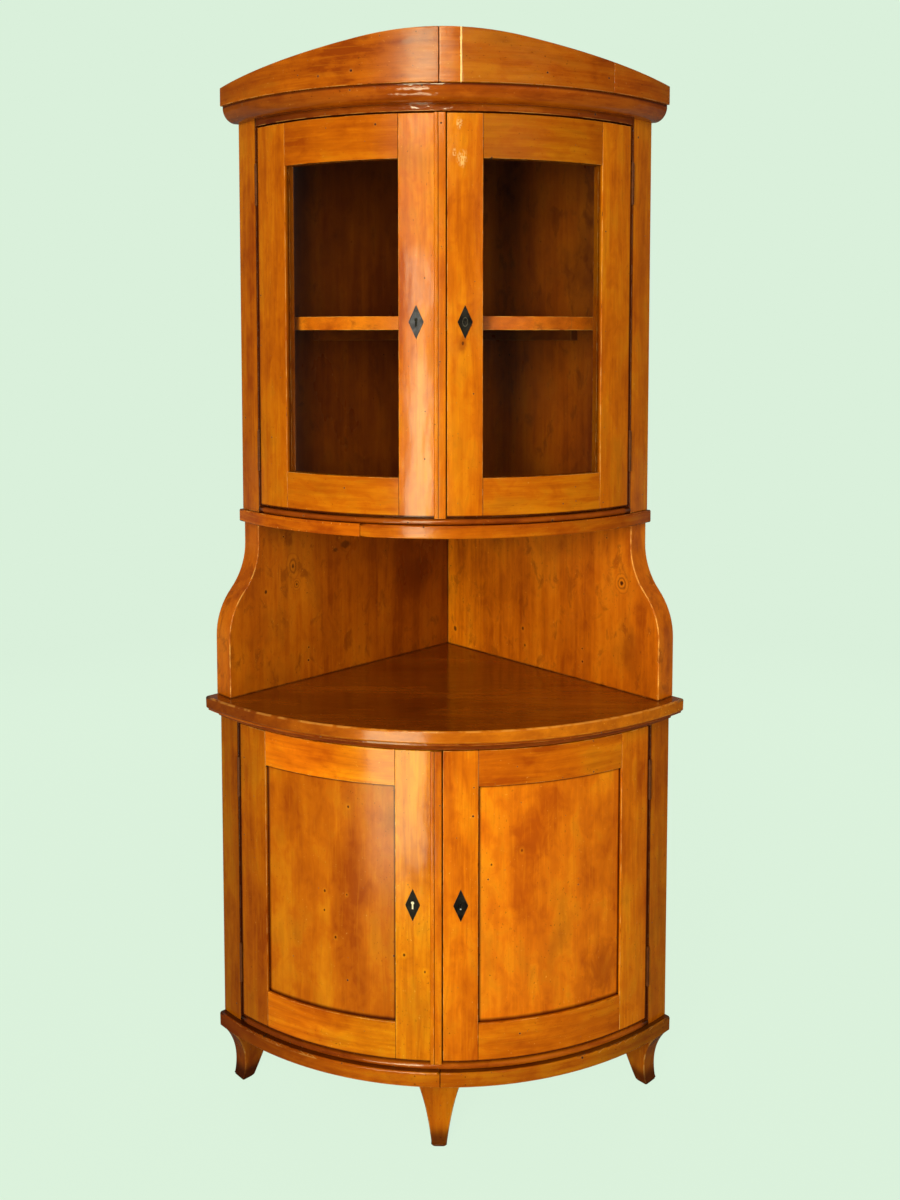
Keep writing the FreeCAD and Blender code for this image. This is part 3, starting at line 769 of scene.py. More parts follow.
@dataclass
class Workshop:
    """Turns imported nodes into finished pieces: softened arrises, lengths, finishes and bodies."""

    nodes: Mapping[str, bpy.types.Object]
    record: Mapping[str, object]
    sharp: float = math.radians(28.0)
    flat: float = math.radians(0.3)
    shortest: float = 0.0016
    facing: float = 0.5
    seed_step: float = 1.7
    normal_weight: int = 50
    gap_line: Tuple[float, float] = (0.0045, 0.0015)
    slots: Dict[str, str] = field(default_factory=dict)
    bodies: Dict[str, str] = field(default_factory=dict)

    def __post_init__(self) -> None:
        """Reads each node's slot and body from the record."""
        self.slots = {part["node"]: part["material_slot"] for part in self.record["subparts"]}
        for body, names in self.record["behaviour"]["bodies"].items():
            self.bodies.update({name: body for name in names})

    def span(self, node: str, bow: Bow) -> Tuple[float, float]:
        """Where a node begins and ends along the front.

        Args:
            node: The node's name.
            bow: The arc that it follows.

        Returns:
            The least and the greatest length along the front.
        """
        places = [bow.arc(bow.angle(vertex.co)) for vertex in self.nodes[node].data.vertices]
        return min(places), max(places)

    def gap_shade(self, node: str, bow: Bow, hand: Hand) -> Zone:
        """Painted shade: the dark line on a case stile along the door's hinge edge, where the gap lies in
        shade.

        Args:
            node: The stile's name.
            bow: The arc that it follows.
            hand: The side on which the stile lies.

        Returns:
            The zone.
        """
        first, last = self.span(node, bow)
        edge, outwards = (last, -1.0) if hand is Hand.LEFT else (first, 1.0)
        start, full = (edge + away * outwards for away in self.gap_line)
        return Zone(Along.ACROSS, start, full, PAINTED_SHADE)

    def copy(self, node: str) -> bmesh.types.BMesh:
        """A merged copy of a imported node, with one face to each flat facet.

        Args:
            node: The node's name.

        Returns:
            The copy, which the caller frees.
        """
        mesh = bmesh.new()
        mesh.from_mesh(self.nodes[node].data)
        bmesh.ops.remove_doubles(mesh, verts=mesh.verts, dist=MERGE_DISTANCE)
        bmesh.ops.dissolve_limit(mesh, angle_limit=self.flat, verts=mesh.verts, edges=mesh.edges)
        return mesh

    def split(self, mesh: bmesh.types.BMesh, bow: Bow, seams: Sequence[float]) -> None:
        """Cuts a bowed piece into closed lengths at upright seams.

        Args:
            mesh: The piece.
            bow: The arc that it follows.
            seams: Angles of the seams in degrees.
        """
        for degrees in seams:
            bmesh.ops.split_edges(mesh, edges=cut_upright(mesh, bow, degrees))
            bmesh.ops.holes_fill(mesh, edges=[edge for edge in mesh.edges if edge.is_boundary], sides=0)
        bmesh.ops.recalc_face_normals(mesh, faces=mesh.faces)

    @staticmethod
    def islands(mesh: bmesh.types.BMesh) -> List[List[bmesh.types.BMFace]]:
        """The separate solids of a mesh.

        Args:
            mesh: The piece.

        Returns:
            A list of faces for each solid.
        """
        left = set(mesh.faces)
        found = []
        while left:
            start = left.pop()
            island, ring = [start], [start]
            while ring:
                face = ring.pop()
                near = {other for edge in face.edges for other in edge.link_faces} & left
                left -= near
                ring.extend(near)
                island.extend(near)
            found.append(island)
        return found

    def soften(self, mesh: bmesh.types.BMesh, width: float, edge_rule: Optional[EdgeRule] = None,
               segments: int = 2) -> None:
        """Rounds the sharp edges and writes on each new face how worn it is.

        Args:
            mesh: The piece.
            width: Width of the rounding in metres.
            edge_rule: Wear at a place: -1 for grime in joints and painted shade in gaps, 1 for bare timber,
            more for pale filler. Bare all round if left out.
            segments: Faces across the rounding.
        """
        layer = mesh.faces.layers.float.new("arris")
        edges = [edge for edge in mesh.edges if edge.is_manifold and edge.calc_face_angle(0.0) > self.sharp
                 and edge.calc_length() > self.shortest]
        for face in round_edges(mesh, edges, width, segments, clamp=False):
            face[layer] = edge_rule(face.calc_center_median()) if edge_rule else 1.0

    def tell_apart(self, mesh: bmesh.types.BMesh, order: Callable[[Vector], float], shades: Sequence[float],
                   seed: float) -> None:
        """Gives each solid of a piece its own cut of timber and its own shade.

        Args:
            mesh: The piece.
            order: Sorts the solids by their middle points.
            shades: Shade of each solid in that order, where the last one serves the rest.
            seed: Where in the timber the first solid is cut.
        """
        shade_layer = mesh.faces.layers.float.new("shade")
        seed_layer = mesh.faces.layers.float.new("seed")

        def middle(island: List[bmesh.types.BMFace]) -> float:
            """The sorting value of one solid."""
            return order(sum((face.calc_center_median() for face in island), Vector()) / len(island))

        for number, island in enumerate(sorted(self.islands(mesh), key=middle)):
            for face in island:
                face[shade_layer] = shades[min(number, len(shades) - 1)]
                face[seed_layer] = seed + number * self.seed_step

    def publish(self, name: str, mesh: bmesh.types.BMesh, material: bpy.types.Material, body: str,
                stands_for: Sequence[str] = ()) -> None:
        """Makes a finished piece of the object.

        Args:
            name: The piece's name.
            mesh: Its mesh, which is freed.
            material: Its finish.
            body: The body that it rides on.
            stands_for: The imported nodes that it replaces.
        """
        data = bpy.data.meshes.new(name)
        mesh.to_mesh(data)
        mesh.free()
        data.shade_smooth()
        data.materials.append(material)
        piece = bpy.data.objects.new(name, data)
        bpy.context.scene.collection.objects.link(piece)
        even = piece.modifiers.new("even_shading", "WEIGHTED_NORMAL")
        even.weight = self.normal_weight
        even.keep_sharp = False
        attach(piece, body)
        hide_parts(*stands_for)
        LOG.info("%s rides on %s, %d faces", name, body, len(data.polygons))

    def dress(self, node: str, material: bpy.types.Material, width: float, seed: float = 0.0,
              shades: Sequence[float] = (1.0,), edge_rule: Optional[EdgeRule] = None, bow: Bow = LOWER_BOW,
              seams: Sequence[float] = (), shaping: Optional[Shaping] = None,
              lift: Optional[Tuple[Vector, float]] = None) -> None:
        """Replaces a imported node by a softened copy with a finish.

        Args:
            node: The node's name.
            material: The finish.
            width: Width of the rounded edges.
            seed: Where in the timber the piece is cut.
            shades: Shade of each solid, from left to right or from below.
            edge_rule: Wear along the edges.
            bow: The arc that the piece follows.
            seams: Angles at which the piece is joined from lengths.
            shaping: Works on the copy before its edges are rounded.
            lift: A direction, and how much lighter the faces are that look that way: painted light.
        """
        mesh = self.copy(node)
        if seams:
            self.split(mesh, bow, seams)
        if shaping:
            shaping(mesh)
        self.tell_apart(mesh, lambda point: bow.angle(point) + point.z, shades, seed)
        # Painted light on the faces that look the lifted way
        if lift:
            layer = mesh.faces.layers.float["shade"]
            for face in mesh.faces:
                face[layer] *= lift[1] if face.normal.dot(lift[0]) > self.facing else 1.0
        self.soften(mesh, width, edge_rule)
        self.publish(f"{node}_dressed", mesh, material, self.bodies[node], (node,))

    def coat(self, node: str, material: bpy.types.Material) -> None:
        """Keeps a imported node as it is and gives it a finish.

        Args:
            node: The node's name.
            material: The finish.
        """
        for place in self.nodes[node].material_slots:
            place.material = material
        LOG.info("%s keeps its shape, finish %s", node, material.name)


# Sub-assemblies
@dataclass
class LowerCase:
    """The lower case: side boards, stiles, plinth, bead, floor, shelf, feet and upper mouldings."""

    shop: Workshop
    arris: float = 0.0010
    bead_arris: float = 0.0005
    moulding_arris: float = 0.0006
    foot_arris: float = 0.0022
    toe_round: float = 0.005
    sole_level: float = 0.0005
    shelf_front: float = 0.574
    plinth_front: float = 0.628
    plinth_nails: Tuple[float, ...] = (-0.0485, 0.042)
    nail_heights: Tuple[float, ...] = (0.121, 0.136)
    nail_size: float = 0.0017
    plinth_seam: float = -0.3
    plinth_shades: Tuple[float, float] = (0.66, 0.60)
    # The case stiles' and the feet's shades are partly painted light and shade: darker on the left, where
    # less light falls
    stile_shades: Tuple[float, float] = (0.48, 0.78)
    board_shade: float = 0.72
    foot_shades: Tuple[float, float, float, float] = (0.46, 0.62, 0.66, 0.70)
    seam_half: float = 0.002

    def build(self) -> None:
        """Dresses every piece of the lower case."""
        rail = RAIL_WOOD.material("lower_round", Grain.ROUND, LOWER_BOW)
        moulding = MOULDING_WOOD.material("lower_round", Grain.ROUND, LOWER_BOW)
        level = BOARD_WOOD.material("level", Grain.LEVEL, LOWER_BOW, zones=(
            set_back(self.shelf_front, SHELF_LINE, (0.62, 0.58, 0.55)),))
        hands = ((Hand.LEFT, Grain.LEFT_WALL), (Hand.RIGHT, Grain.RIGHT_WALL))
        for number, (hand, wall) in enumerate(hands):
            board = BOARD_WOOD.material(f"lower_{hand.value}_wall", wall, LOWER_BOW, zones=(RAW_BACK,))
            stile = f"lower_{hand.value}_stile"
            upright = FRAME_WOOD.material(stile, Grain.UPRIGHT, LOWER_BOW, zones=(
                self.shop.gap_shade(stile, LOWER_BOW, hand),))
            self.shop.dress(stile, upright, self.arris, seed=number + 1.0,
                            shades=(self.stile_shades[number],))
            self.shop.dress(f"lower_{hand.value}_side_board", board, self.arris, seed=number + 6.0,
                            shades=(self.board_shade,))
        self._feet()
        self._plinth()
        # Painted shade towards the bead's left end, where less light falls
        bead = MOULDING_WOOD.material("bead", Grain.ROUND, LOWER_BOW, zones=(
            Zone(Along.LENGTH, -0.08, -0.36, (0.46, 0.38, 0.4)),))
        self.shop.dress("lower_bead_rail", bead, self.bead_arris, seed=1.4, shades=(0.95,))
        self.shop.dress("lower_top_rail", rail, self.arris, seed=2.4, shades=(0.8,))
        self.shop.dress("worktop_moulding", moulding, self.moulding_arris, seed=3.4)
        self.shop.dress("lower_floor_board", level, self.arris, seed=4.4, shades=(0.8,))
        self.shop.dress("lower_shelf", level, self.arris, seed=5.4, shades=(0.9,))
        self.shop.dress("shelf_battens", level, self.arris, seed=6.4, shades=(0.6,))

    def _feet(self) -> None:
        """Dresses the four feet, whose toes are rounded and scuffed dark."""
        post = FRAME_WOOD.material("feet", Grain.POST, LOWER_BOW, zones=(
            Zone(Along.LENGTH, 0.040, 0.014, (0.26, 0.21, 0.26)),))
        feet = ("left_foot", "right_foot", "front_foot", "rear_foot")
        for number, (node, shade) in enumerate(zip(feet, self.foot_shades)):
            self.shop.dress(node, post, self.foot_arris, seed=number + 1.3, shades=(shade,),
                            shaping=self._round_toe)

    def _round_toe(self, mesh: bmesh.types.BMesh) -> None:
        """Rounds a foot's sole off all round.

        Args:
            mesh: The foot.
        """
        sole = [edge for edge in mesh.edges
                if max(vertex.co.z for vertex in edge.verts) < self.sole_level
                and edge.calc_face_angle(0.0) > self.shop.sharp]
        round_edges(mesh, sole, self.toe_round, segments=3)

    def _plinth(self) -> None:
        """Dresses the plinth: two lengths with nail heads, dark on its ledge, and with painted shade
        towards its ends, where less light falls.
        """
        nails = tuple(Mark(MarkKind.SCAR, height, place, self.nail_size, 1.0, 1.3)
                      for place in self.plinth_nails for height in self.nail_heights)
        finish = PLINTH_WOOD.material("round", Grain.ROUND, LOWER_BOW, nails, (
            set_back(self.plinth_front, LEDGE_LINE, (0.30, 0.25, 0.22)),
            # Painted shade towards both ends
            Zone(Along.LENGTH, -0.14, -0.44, (0.46, 0.36, 0.36)),
            Zone(Along.LENGTH, 0.26, 0.46, (0.72, 0.66, 0.62))))
        self.shop.dress("plinth_fascia", finish, self.arris, seed=0.4, shades=self.plinth_shades,
                        edge_rule=self._plinth_wear, seams=(self.plinth_seam,))

    def _plinth_wear(self, point: Vector) -> float:
        """Grime in the plinth's seam, worn edges elsewhere."""
        away = abs(LOWER_BOW.arc(LOWER_BOW.angle(point) - self.plinth_seam))
        return GRIME_AND_SHADE if away < self.seam_half else WELL_WORN


@dataclass
class Worktop:
    """The polished worktop over the lower case."""

    shop: Workshop
    arris: float = 0.0012
    front: float = 0.650
    rubbed: float = 0.004
    front_wear: float = 0.1

    def build(self) -> None:
        """Dresses the worktop: its front edge is lighter than the top, partly its own tone and partly
        painted light on the upright edge; dark at the left end; and rubbed along the top.
        """
        edge = (self.front - 0.004, self.front - 0.002)
        rub = (self.front - self.rubbed, self.front - self.rubbed / 2.0)
        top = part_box("worktop")[1].z
        face = WORKTOP_WOOD.material("level", Grain.LEVEL, LOWER_BOW, zones=(
            # The front edge: partly its own tone and partly painted light
            Zone(Along.REACH, *edge, (2.2, 2.8, 1.9)),
            Zone(Along.LENGTH, -0.05, 0.35, (1.25, 1.35, 1.2)),
            Zone(Along.LENGTH, -0.08, -0.42, (0.46, 0.35, 0.5), within=((Along.REACH, *edge),)),
            Zone(Along.DEPTH, top - self.rubbed, top - self.rubbed / 2.0, WORKTOP_WOOD.bare, Blend.MIX,
                 amount=0.30, within=((Along.REACH, *rub),), broken=True)))
        self.shop.dress("worktop", face, self.arris, seed=0.9, shades=(0.76,), edge_rule=self._wear)

    def _wear(self, point: Vector) -> float:
        """The back edges are worn, the lower front one hardly."""
        return self.front_wear if LOWER_BOW.reach(point) > self.front - self.rubbed else WORN


@dataclass(frozen=True)
class SideTones:
    """What differs between the two sides of the upper case. The board and stile shades, the corner tone and
    the front edge's gain are painted light and shade: darker on the left, lighter on the right and on the
    front edges.
    """

    hand: Hand
    grain: Grain
    seed: float
    corner_light_and_shade: Colour
    board_shade: float
    stile_shade: float
    painted_edge_light: float
    marks: Tuple[Mark, ...]

    @property
    def outwards(self) -> Vector:
        """The way in which the board's front edge looks."""
        return Vector((-1.0 if self.hand is Hand.LEFT else 1.0, -1.0, 0.0)).normalized()


# The left side carries painted shade and the right side painted light, in its shades and its corner
UPPER_SIDES = (
    SideTones(
        Hand.LEFT, Grain.LEFT_WALL, seed=11.0, corner_light_and_shade=(0.66, 0.58, 0.55), board_shade=0.70,
        stile_shade=0.76, painted_edge_light=1.4, marks=(
            Mark(MarkKind.KNOT, 0.475, 1.021, 0.0085, 1.5),
            Mark(MarkKind.KNOT, 0.466, 0.983, 0.005, 1.2),
            Mark(MarkKind.SCAR, 0.343, 1.048, 0.018, 0.6),
            Mark(MarkKind.SCAR, 0.368, 1.040, 0.009, 0.7),
            Mark(MarkKind.STAIN, 0.150, 0.960, 0.070, 0.9),
            Mark(MarkKind.EYE, 0.541, 0.979, 0.004))),
    SideTones(
        Hand.RIGHT, Grain.RIGHT_WALL, seed=12.0, corner_light_and_shade=(1.45, 1.68, 1.2), board_shade=1.06,
        stile_shade=0.90, painted_edge_light=1.2, marks=(
            Mark(MarkKind.KNOT, 0.536, 0.999, 0.0080, 1.2, 1.2),
            Mark(MarkKind.EYE, 0.070, 0.823, 0.006),
            Mark(MarkKind.EYE, 0.276, 0.861, 0.004),
            Mark(MarkKind.EYE, 0.282, 0.826, 0.004))),
)


@dataclass
class UpperCase:
    """The upper case: S-edged side boards, stiles, waist, floor, shelf and top board."""

    shop: Workshop
    arris: float = 0.0010
    bead_arris: float = 0.0005
    board_arris: float = 0.0018
    inside_from: float = 1.128
    shelf_front: float = 0.455
    waist_front: float = 0.5084
    board: float = 0.047
    waist_seam: float = -17.0
    waist_shades: Tuple[float, float] = (0.94, 0.76)
    seam_half: float = 0.002
    seam_wear: float = -0.5
    room_side: Tuple[float, float] = (0.003, 0.006)
    niche_line: Tuple[float, float] = (0.0040, 0.0010)
    board_line: Tuple[float, float] = (0.0040, 0.0005)
    corner_span: Tuple[float, float] = (0.30, 0.05)
    # Painted shade inside the case: darker above its floor, and darker still towards its top
    dim: Colour = (0.58, 0.51, 0.45)
    dim_over: float = 0.020
    painted_top_shade: Colour = (0.66, 0.68, 0.74)
    painted_top_shade_over: float = 0.700
    top_dust: Tuple[float, float] = (1.9115, 1.9125)

    def build(self) -> None:
        """Dresses every piece of the upper case."""
        moulding = MOULDING_WOOD.material("upper_round", Grain.ROUND, UPPER_BOW)
        waist = PLINTH_WOOD.material("waist", Grain.ROUND, UPPER_BOW, zones=(
            set_back(self.waist_front, LEDGE_LINE, (0.32, 0.27, 0.24)),
            Zone(Along.LENGTH, 0.06, 0.22, (0.80, 0.72, 0.80))))
        for side in UPPER_SIDES:
            self._side(side)
        # Painted light and shade on the level boards: the shelf lighter at its front edge, painted shade
        # behind it inside the case
        level = BOARD_WOOD.material("upper_level", Grain.LEVEL, UPPER_BOW, zones=(
            set_back(self.shelf_front, SHELF_LINE, (0.36, 0.31, 0.28)),))
        dusty = BOARD_WOOD.material("top", Grain.LEVEL, UPPER_BOW, zones=(
            Zone(Along.DEPTH, *self.top_dust, RAW_TIMBER, Blend.COLOR, 0.8),))
        self.shop.dress("waist_moulding", waist, self.arris, seed=0.2, shades=self.waist_shades,
                        edge_rule=self._waist_wear, bow=UPPER_BOW, seams=(self.waist_seam,))
        self.shop.dress("upper_bead_rail", moulding, self.bead_arris, seed=1.2, shades=(0.95,),
                        bow=UPPER_BOW)
        self.shop.dress("upper_floor_board", level, self.arris, seed=2.2, shades=(0.9,), bow=UPPER_BOW)
        self.shop.dress("upper_shelf", level, self.arris, seed=3.2, shades=(1.35,), bow=UPPER_BOW)
        self.shop.dress("upper_top_board", dusty, self.arris, seed=4.2, shades=(0.7,), bow=UPPER_BOW)

    def _side(self, side: SideTones) -> None:
        """Dresses the stile and the board of one side.

        Args:
            side: The side's own tones and marks.
        """
        hand = side.hand.value
        stile = f"upper_{hand}_stile"
        upright = FRAME_WOOD.material(stile, Grain.UPRIGHT, UPPER_BOW, zones=(
            self.shop.gap_shade(stile, UPPER_BOW, side.hand),))
        self.shop.dress(stile, upright, self.arris, seed=side.seed, shades=(side.stile_shade,),
                        bow=UPPER_BOW)
        board = BOARD_WOOD.material(f"upper_{hand}_wall", side.grain, UPPER_BOW, side.marks,
                                    (*self._room_zones(side), RAW_BACK))
        self.shop.dress(f"upper_{hand}_side_board", board, self.board_arris, seed=side.seed + 5.0,
                        shades=(side.board_shade,), bow=UPPER_BOW, lift=(side.outwards, side.painted_edge_light))

    def _room_zones(self, side: SideTones) -> Tuple[Zone, ...]:
        """The tones of a board's room side: dark joins, painted light and shade towards the corner, and
        painted shade inside the case, darker towards its top.

        Args:
            side: The side's own tones.

        Returns:
            The zones.
        """
        room_side = ((Along.DEPTH, *self.room_side),)
        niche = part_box("worktop")[1].z
        inside = self.inside_from
        over_niche = (niche + away for away in self.niche_line)
        beside_board = (self.board + away for away in self.board_line)
        return (
            Zone(Along.LENGTH, *over_niche, (0.34, 0.26, 0.22), within=room_side),
            Zone(Along.ACROSS, *beside_board, (0.45, 0.36, 0.32), within=room_side),
            Zone(Along.ACROSS, *self.corner_span, side.corner_light_and_shade, within=room_side),
            Zone(Along.LENGTH, inside, inside + self.dim_over, self.dim, within=room_side),
            Zone(Along.LENGTH, inside, inside + self.painted_top_shade_over, self.painted_top_shade, within=room_side),
        )

    def _waist_wear(self, point: Vector) -> float:
        """A little grime in the waist's seam, worn edges elsewhere."""
        away = abs(UPPER_BOW.arc(UPPER_BOW.angle(point) - self.waist_seam))
        return self.seam_wear if away < self.seam_half else WELL_WORN


@dataclass
class Cornice:
    """The cornice: frieze rail, ovolo moulding and the arched fascia joined from four lengths."""

    shop: Workshop
    arris: float = 0.0012
    moulding_arris: float = 0.0006
    seams: Tuple[float, ...] = (-0.44, 3.6, 34.6)
    seam_half: float = 0.0025
    seam_wears: Tuple[float, ...] = (-0.8, 1.4, 0.0)
    filler: Tuple[float, ...] = (1.985, 1.958, 1.930)
    filler_size: float = 0.015
    filler_stretch: float = 0.16
    fascia_shadow_line: Tuple[float, float] = (0.0055, 0.0015)
    fascia_shades: Tuple[float, ...] = (0.76, 0.82, 0.58, 0.70)

    def build(self) -> None:
        """Dresses the frieze, the moulding and the fascia."""
        seam = UPPER_BOW.arc(self.seams[1])
        filled = tuple(Mark(MarkKind.SCUFF_AND_GLINT, height, seam, self.filler_size, self.filler_stretch)
                       for height in self.filler)
        rail = CORNICE_WOOD.material("fascia", Grain.ROUND, UPPER_BOW, filled, (
            Zone(Along.LENGTH, 0.06, 0.22, (0.92, 0.80, 1.0)),))
        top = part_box("cornice_moulding")[1].z
        under_fascia = (top - away for away in self.fascia_shadow_line)
        moulding = MOULDING_WOOD.material("cornice", Grain.ROUND, UPPER_BOW, zones=(
            # Painted shadow under the fascia, and painted shade towards both ends of the moulding
            Zone(Along.ACROSS, *under_fascia, (0.34, 0.26, 0.24)),
            Zone(Along.LENGTH, 0.10, 0.32, (0.76, 0.70, 0.9)),
            Zone(Along.LENGTH, -0.10, -0.32, (0.80, 0.80, 0.9))))
        self.shop.dress("frieze_rail", moulding, self.arris, seed=0.6, shades=(0.8,), bow=UPPER_BOW)
        self.shop.dress("cornice_moulding", moulding, self.moulding_arris, seed=1.6, bow=UPPER_BOW)
        self.shop.dress("cornice_fascia", rail, self.arris, seed=2.6, shades=self.fascia_shades,
                        edge_rule=self._wear, bow=UPPER_BOW, seams=self.seams)

    def _wear(self, point: Vector) -> float:
        """Grime in the first seam, pale filler in the second, nothing in the third, worn edges elsewhere.

        Args:
            point: A place on the fascia.

        Returns:
            The wear there.
        """
        gaps = [abs(UPPER_BOW.arc(UPPER_BOW.angle(point) - seam)) for seam in self.seams]
        gap, wear = min(zip(gaps, self.seam_wears))
        return WORN if gap > self.seam_half else wear


@dataclass(frozen=True)
class Keyhole:
    """What shows in a keyhole: the well behind it, a plug whose black is painted shade in the hole and
    whose bone colour is partly painted reflection; a raised rim; or the lock's pin, whose pale colour is
    partly a painted glint.
    """

    # The well's black is painted shade in the hole, and its bone colour partly painted reflection
    well: IronFinish = BLACK_IRON
    rim: bool = False
    pin: bool = False
    radius: float = 0.0031
    slot_half: float = 0.0014
    slot_drop: float = 0.0117
    rise: float = 0.004
    sink: float = 0.0012
    depth: float = 0.004
    rim_wire: float = 0.0007
    rim_stretch: float = 1.7
    arris: float = 0.0002
    tongue_step: float = 0.0001
    well_sides: int = 24
    wire_sides: int = 10
    rim_steps: int = 32
    pin_sides: int = 16
    pin_corner: float = 1.0
    pin_dome: float = 0.6

    def build(self, shop: Workshop, door: str, bow: Bow) -> None:
        """Makes the pieces and sets them in the plate's keyhole.

        Args:
            shop: The workshop that finishes them.
            door: The door's name.
            bow: The arc that the door follows.
        """
        node = f"{door}_keyhole_plate"
        low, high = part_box(node)
        middle = (low + high) / 2.0
        turn = math.radians(bow.angle(middle))
        ahead = Vector((math.sin(turn), -math.cos(turn), 0.0))
        axis = Vector((0.0, bow.centre_y, 0.0))
        face = max((vertex.co - axis).dot(ahead) for vertex in shop.nodes[node].data.vertices)
        spot = axis + ahead * face + Vector((0.0, 0.0, middle.z + self.rise))
        upright = Vector((0.0, 0.0, 1.0))
        seat = Matrix((upright.cross(ahead), upright, ahead)).transposed().to_4x4()
        seat.translation = spot
        shapes = {"well": (self._well(), self.well)}
        if self.rim:
            shapes["rim"] = (self._rim(), LOCK_STEEL)
        if self.pin:
            shapes["pin"] = (self._pin(), STEEL_AND_GLINT)
        for label, (mesh, finish) in shapes.items():
            bmesh.ops.transform(mesh, matrix=seat, verts=mesh.verts)
            bmesh.ops.recalc_face_normals(mesh, faces=mesh.faces)
            shop.soften(mesh, self.arris)
            shop.publish(f"{door}_keyhole_{label}", mesh, finish.material(), shop.bodies[node])

    def _well(self) -> bmesh.types.BMesh:
        """The well: a round plug with a tongue below, sunk behind the plate's face.

        Returns:
            The mesh, which the caller frees.
        """
        mesh = bmesh.new()
        disc = bmesh.ops.create_circle(mesh, cap_ends=True, radius=self.radius,
                                       segments=self.well_sides)["verts"]
        tongue = bmesh.ops.create_grid(mesh, x_segments=1, y_segments=1, size=1.0)["verts"]
        bmesh.ops.scale(mesh, vec=(self.slot_half, self.slot_drop / 2.0, 1.0), verts=tongue)
        bmesh.ops.translate(mesh, vec=(0.0, -self.slot_drop / 2.0, -self.tongue_step), verts=tongue)
        bmesh.ops.translate(mesh, vec=(0.0, 0.0, -self.sink), verts=[*disc, *tongue])
        deep = bmesh.ops.extrude_face_region(mesh, geom=list(mesh.faces), use_keep_orig=True)["geom"]
        bmesh.ops.translate(mesh, vec=(0.0, 0.0, -self.depth),
                            verts=[item for item in deep if isinstance(item, bmesh.types.BMVert)])
        return mesh

    def _rim(self) -> bmesh.types.BMesh:
        """A raised oval rim round the keyhole, half sunk in the plate.

        Returns:
            The mesh, which the caller frees.
        """
        mesh = bmesh.new()
        bmesh.ops.create_circle(mesh, radius=self.rim_wire, segments=self.wire_sides)
        bmesh.ops.rotate(mesh, matrix=Matrix.Rotation(math.pi / 2.0, 3, "X"), verts=mesh.verts)
        bmesh.ops.translate(mesh, vec=(self.radius + 2.0 * self.rim_wire, 0.0, 0.0), verts=mesh.verts)
        bmesh.ops.spin(mesh, geom=[*mesh.verts, *mesh.edges], axis=(0.0, 0.0, 1.0), cent=(0.0, 0.0, 0.0),
                       angle=2.0 * math.pi, steps=self.rim_steps, use_merge=True)
        bmesh.ops.remove_doubles(mesh, verts=mesh.verts, dist=MERGE_DISTANCE)
        bmesh.ops.scale(mesh, vec=(1.0, self.rim_stretch, 1.0), verts=mesh.verts)
        bmesh.ops.translate(mesh, vec=(0.0, -self.slot_drop / 3.0, 0.0), verts=mesh.verts)
        return mesh

    def _pin(self) -> bmesh.types.BMesh:
        """The lock's domed pin at the foot of the slot.

        Returns:
            The mesh, which the caller frees.
        """
        mesh = bmesh.new()
        bmesh.ops.create_circle(mesh, cap_ends=True, radius=self.slot_half, segments=self.pin_sides)
        back = bmesh.ops.extrude_face_region(mesh, geom=list(mesh.faces), use_keep_orig=True)["geom"]
        front = [edge for edge in mesh.edges
                 if edge.is_manifold and edge.calc_face_angle(0.0) > self.pin_corner]
        bmesh.ops.translate(mesh, vec=(0.0, 0.0, -self.depth),
                            verts=[item for item in back if isinstance(item, bmesh.types.BMVert)])
        round_edges(mesh, front, self.slot_half * self.pin_dome, segments=3)
        bmesh.ops.translate(mesh, vec=(0.0, -self.slot_drop + self.slot_half, 0.0), verts=mesh.verts)
        return mesh


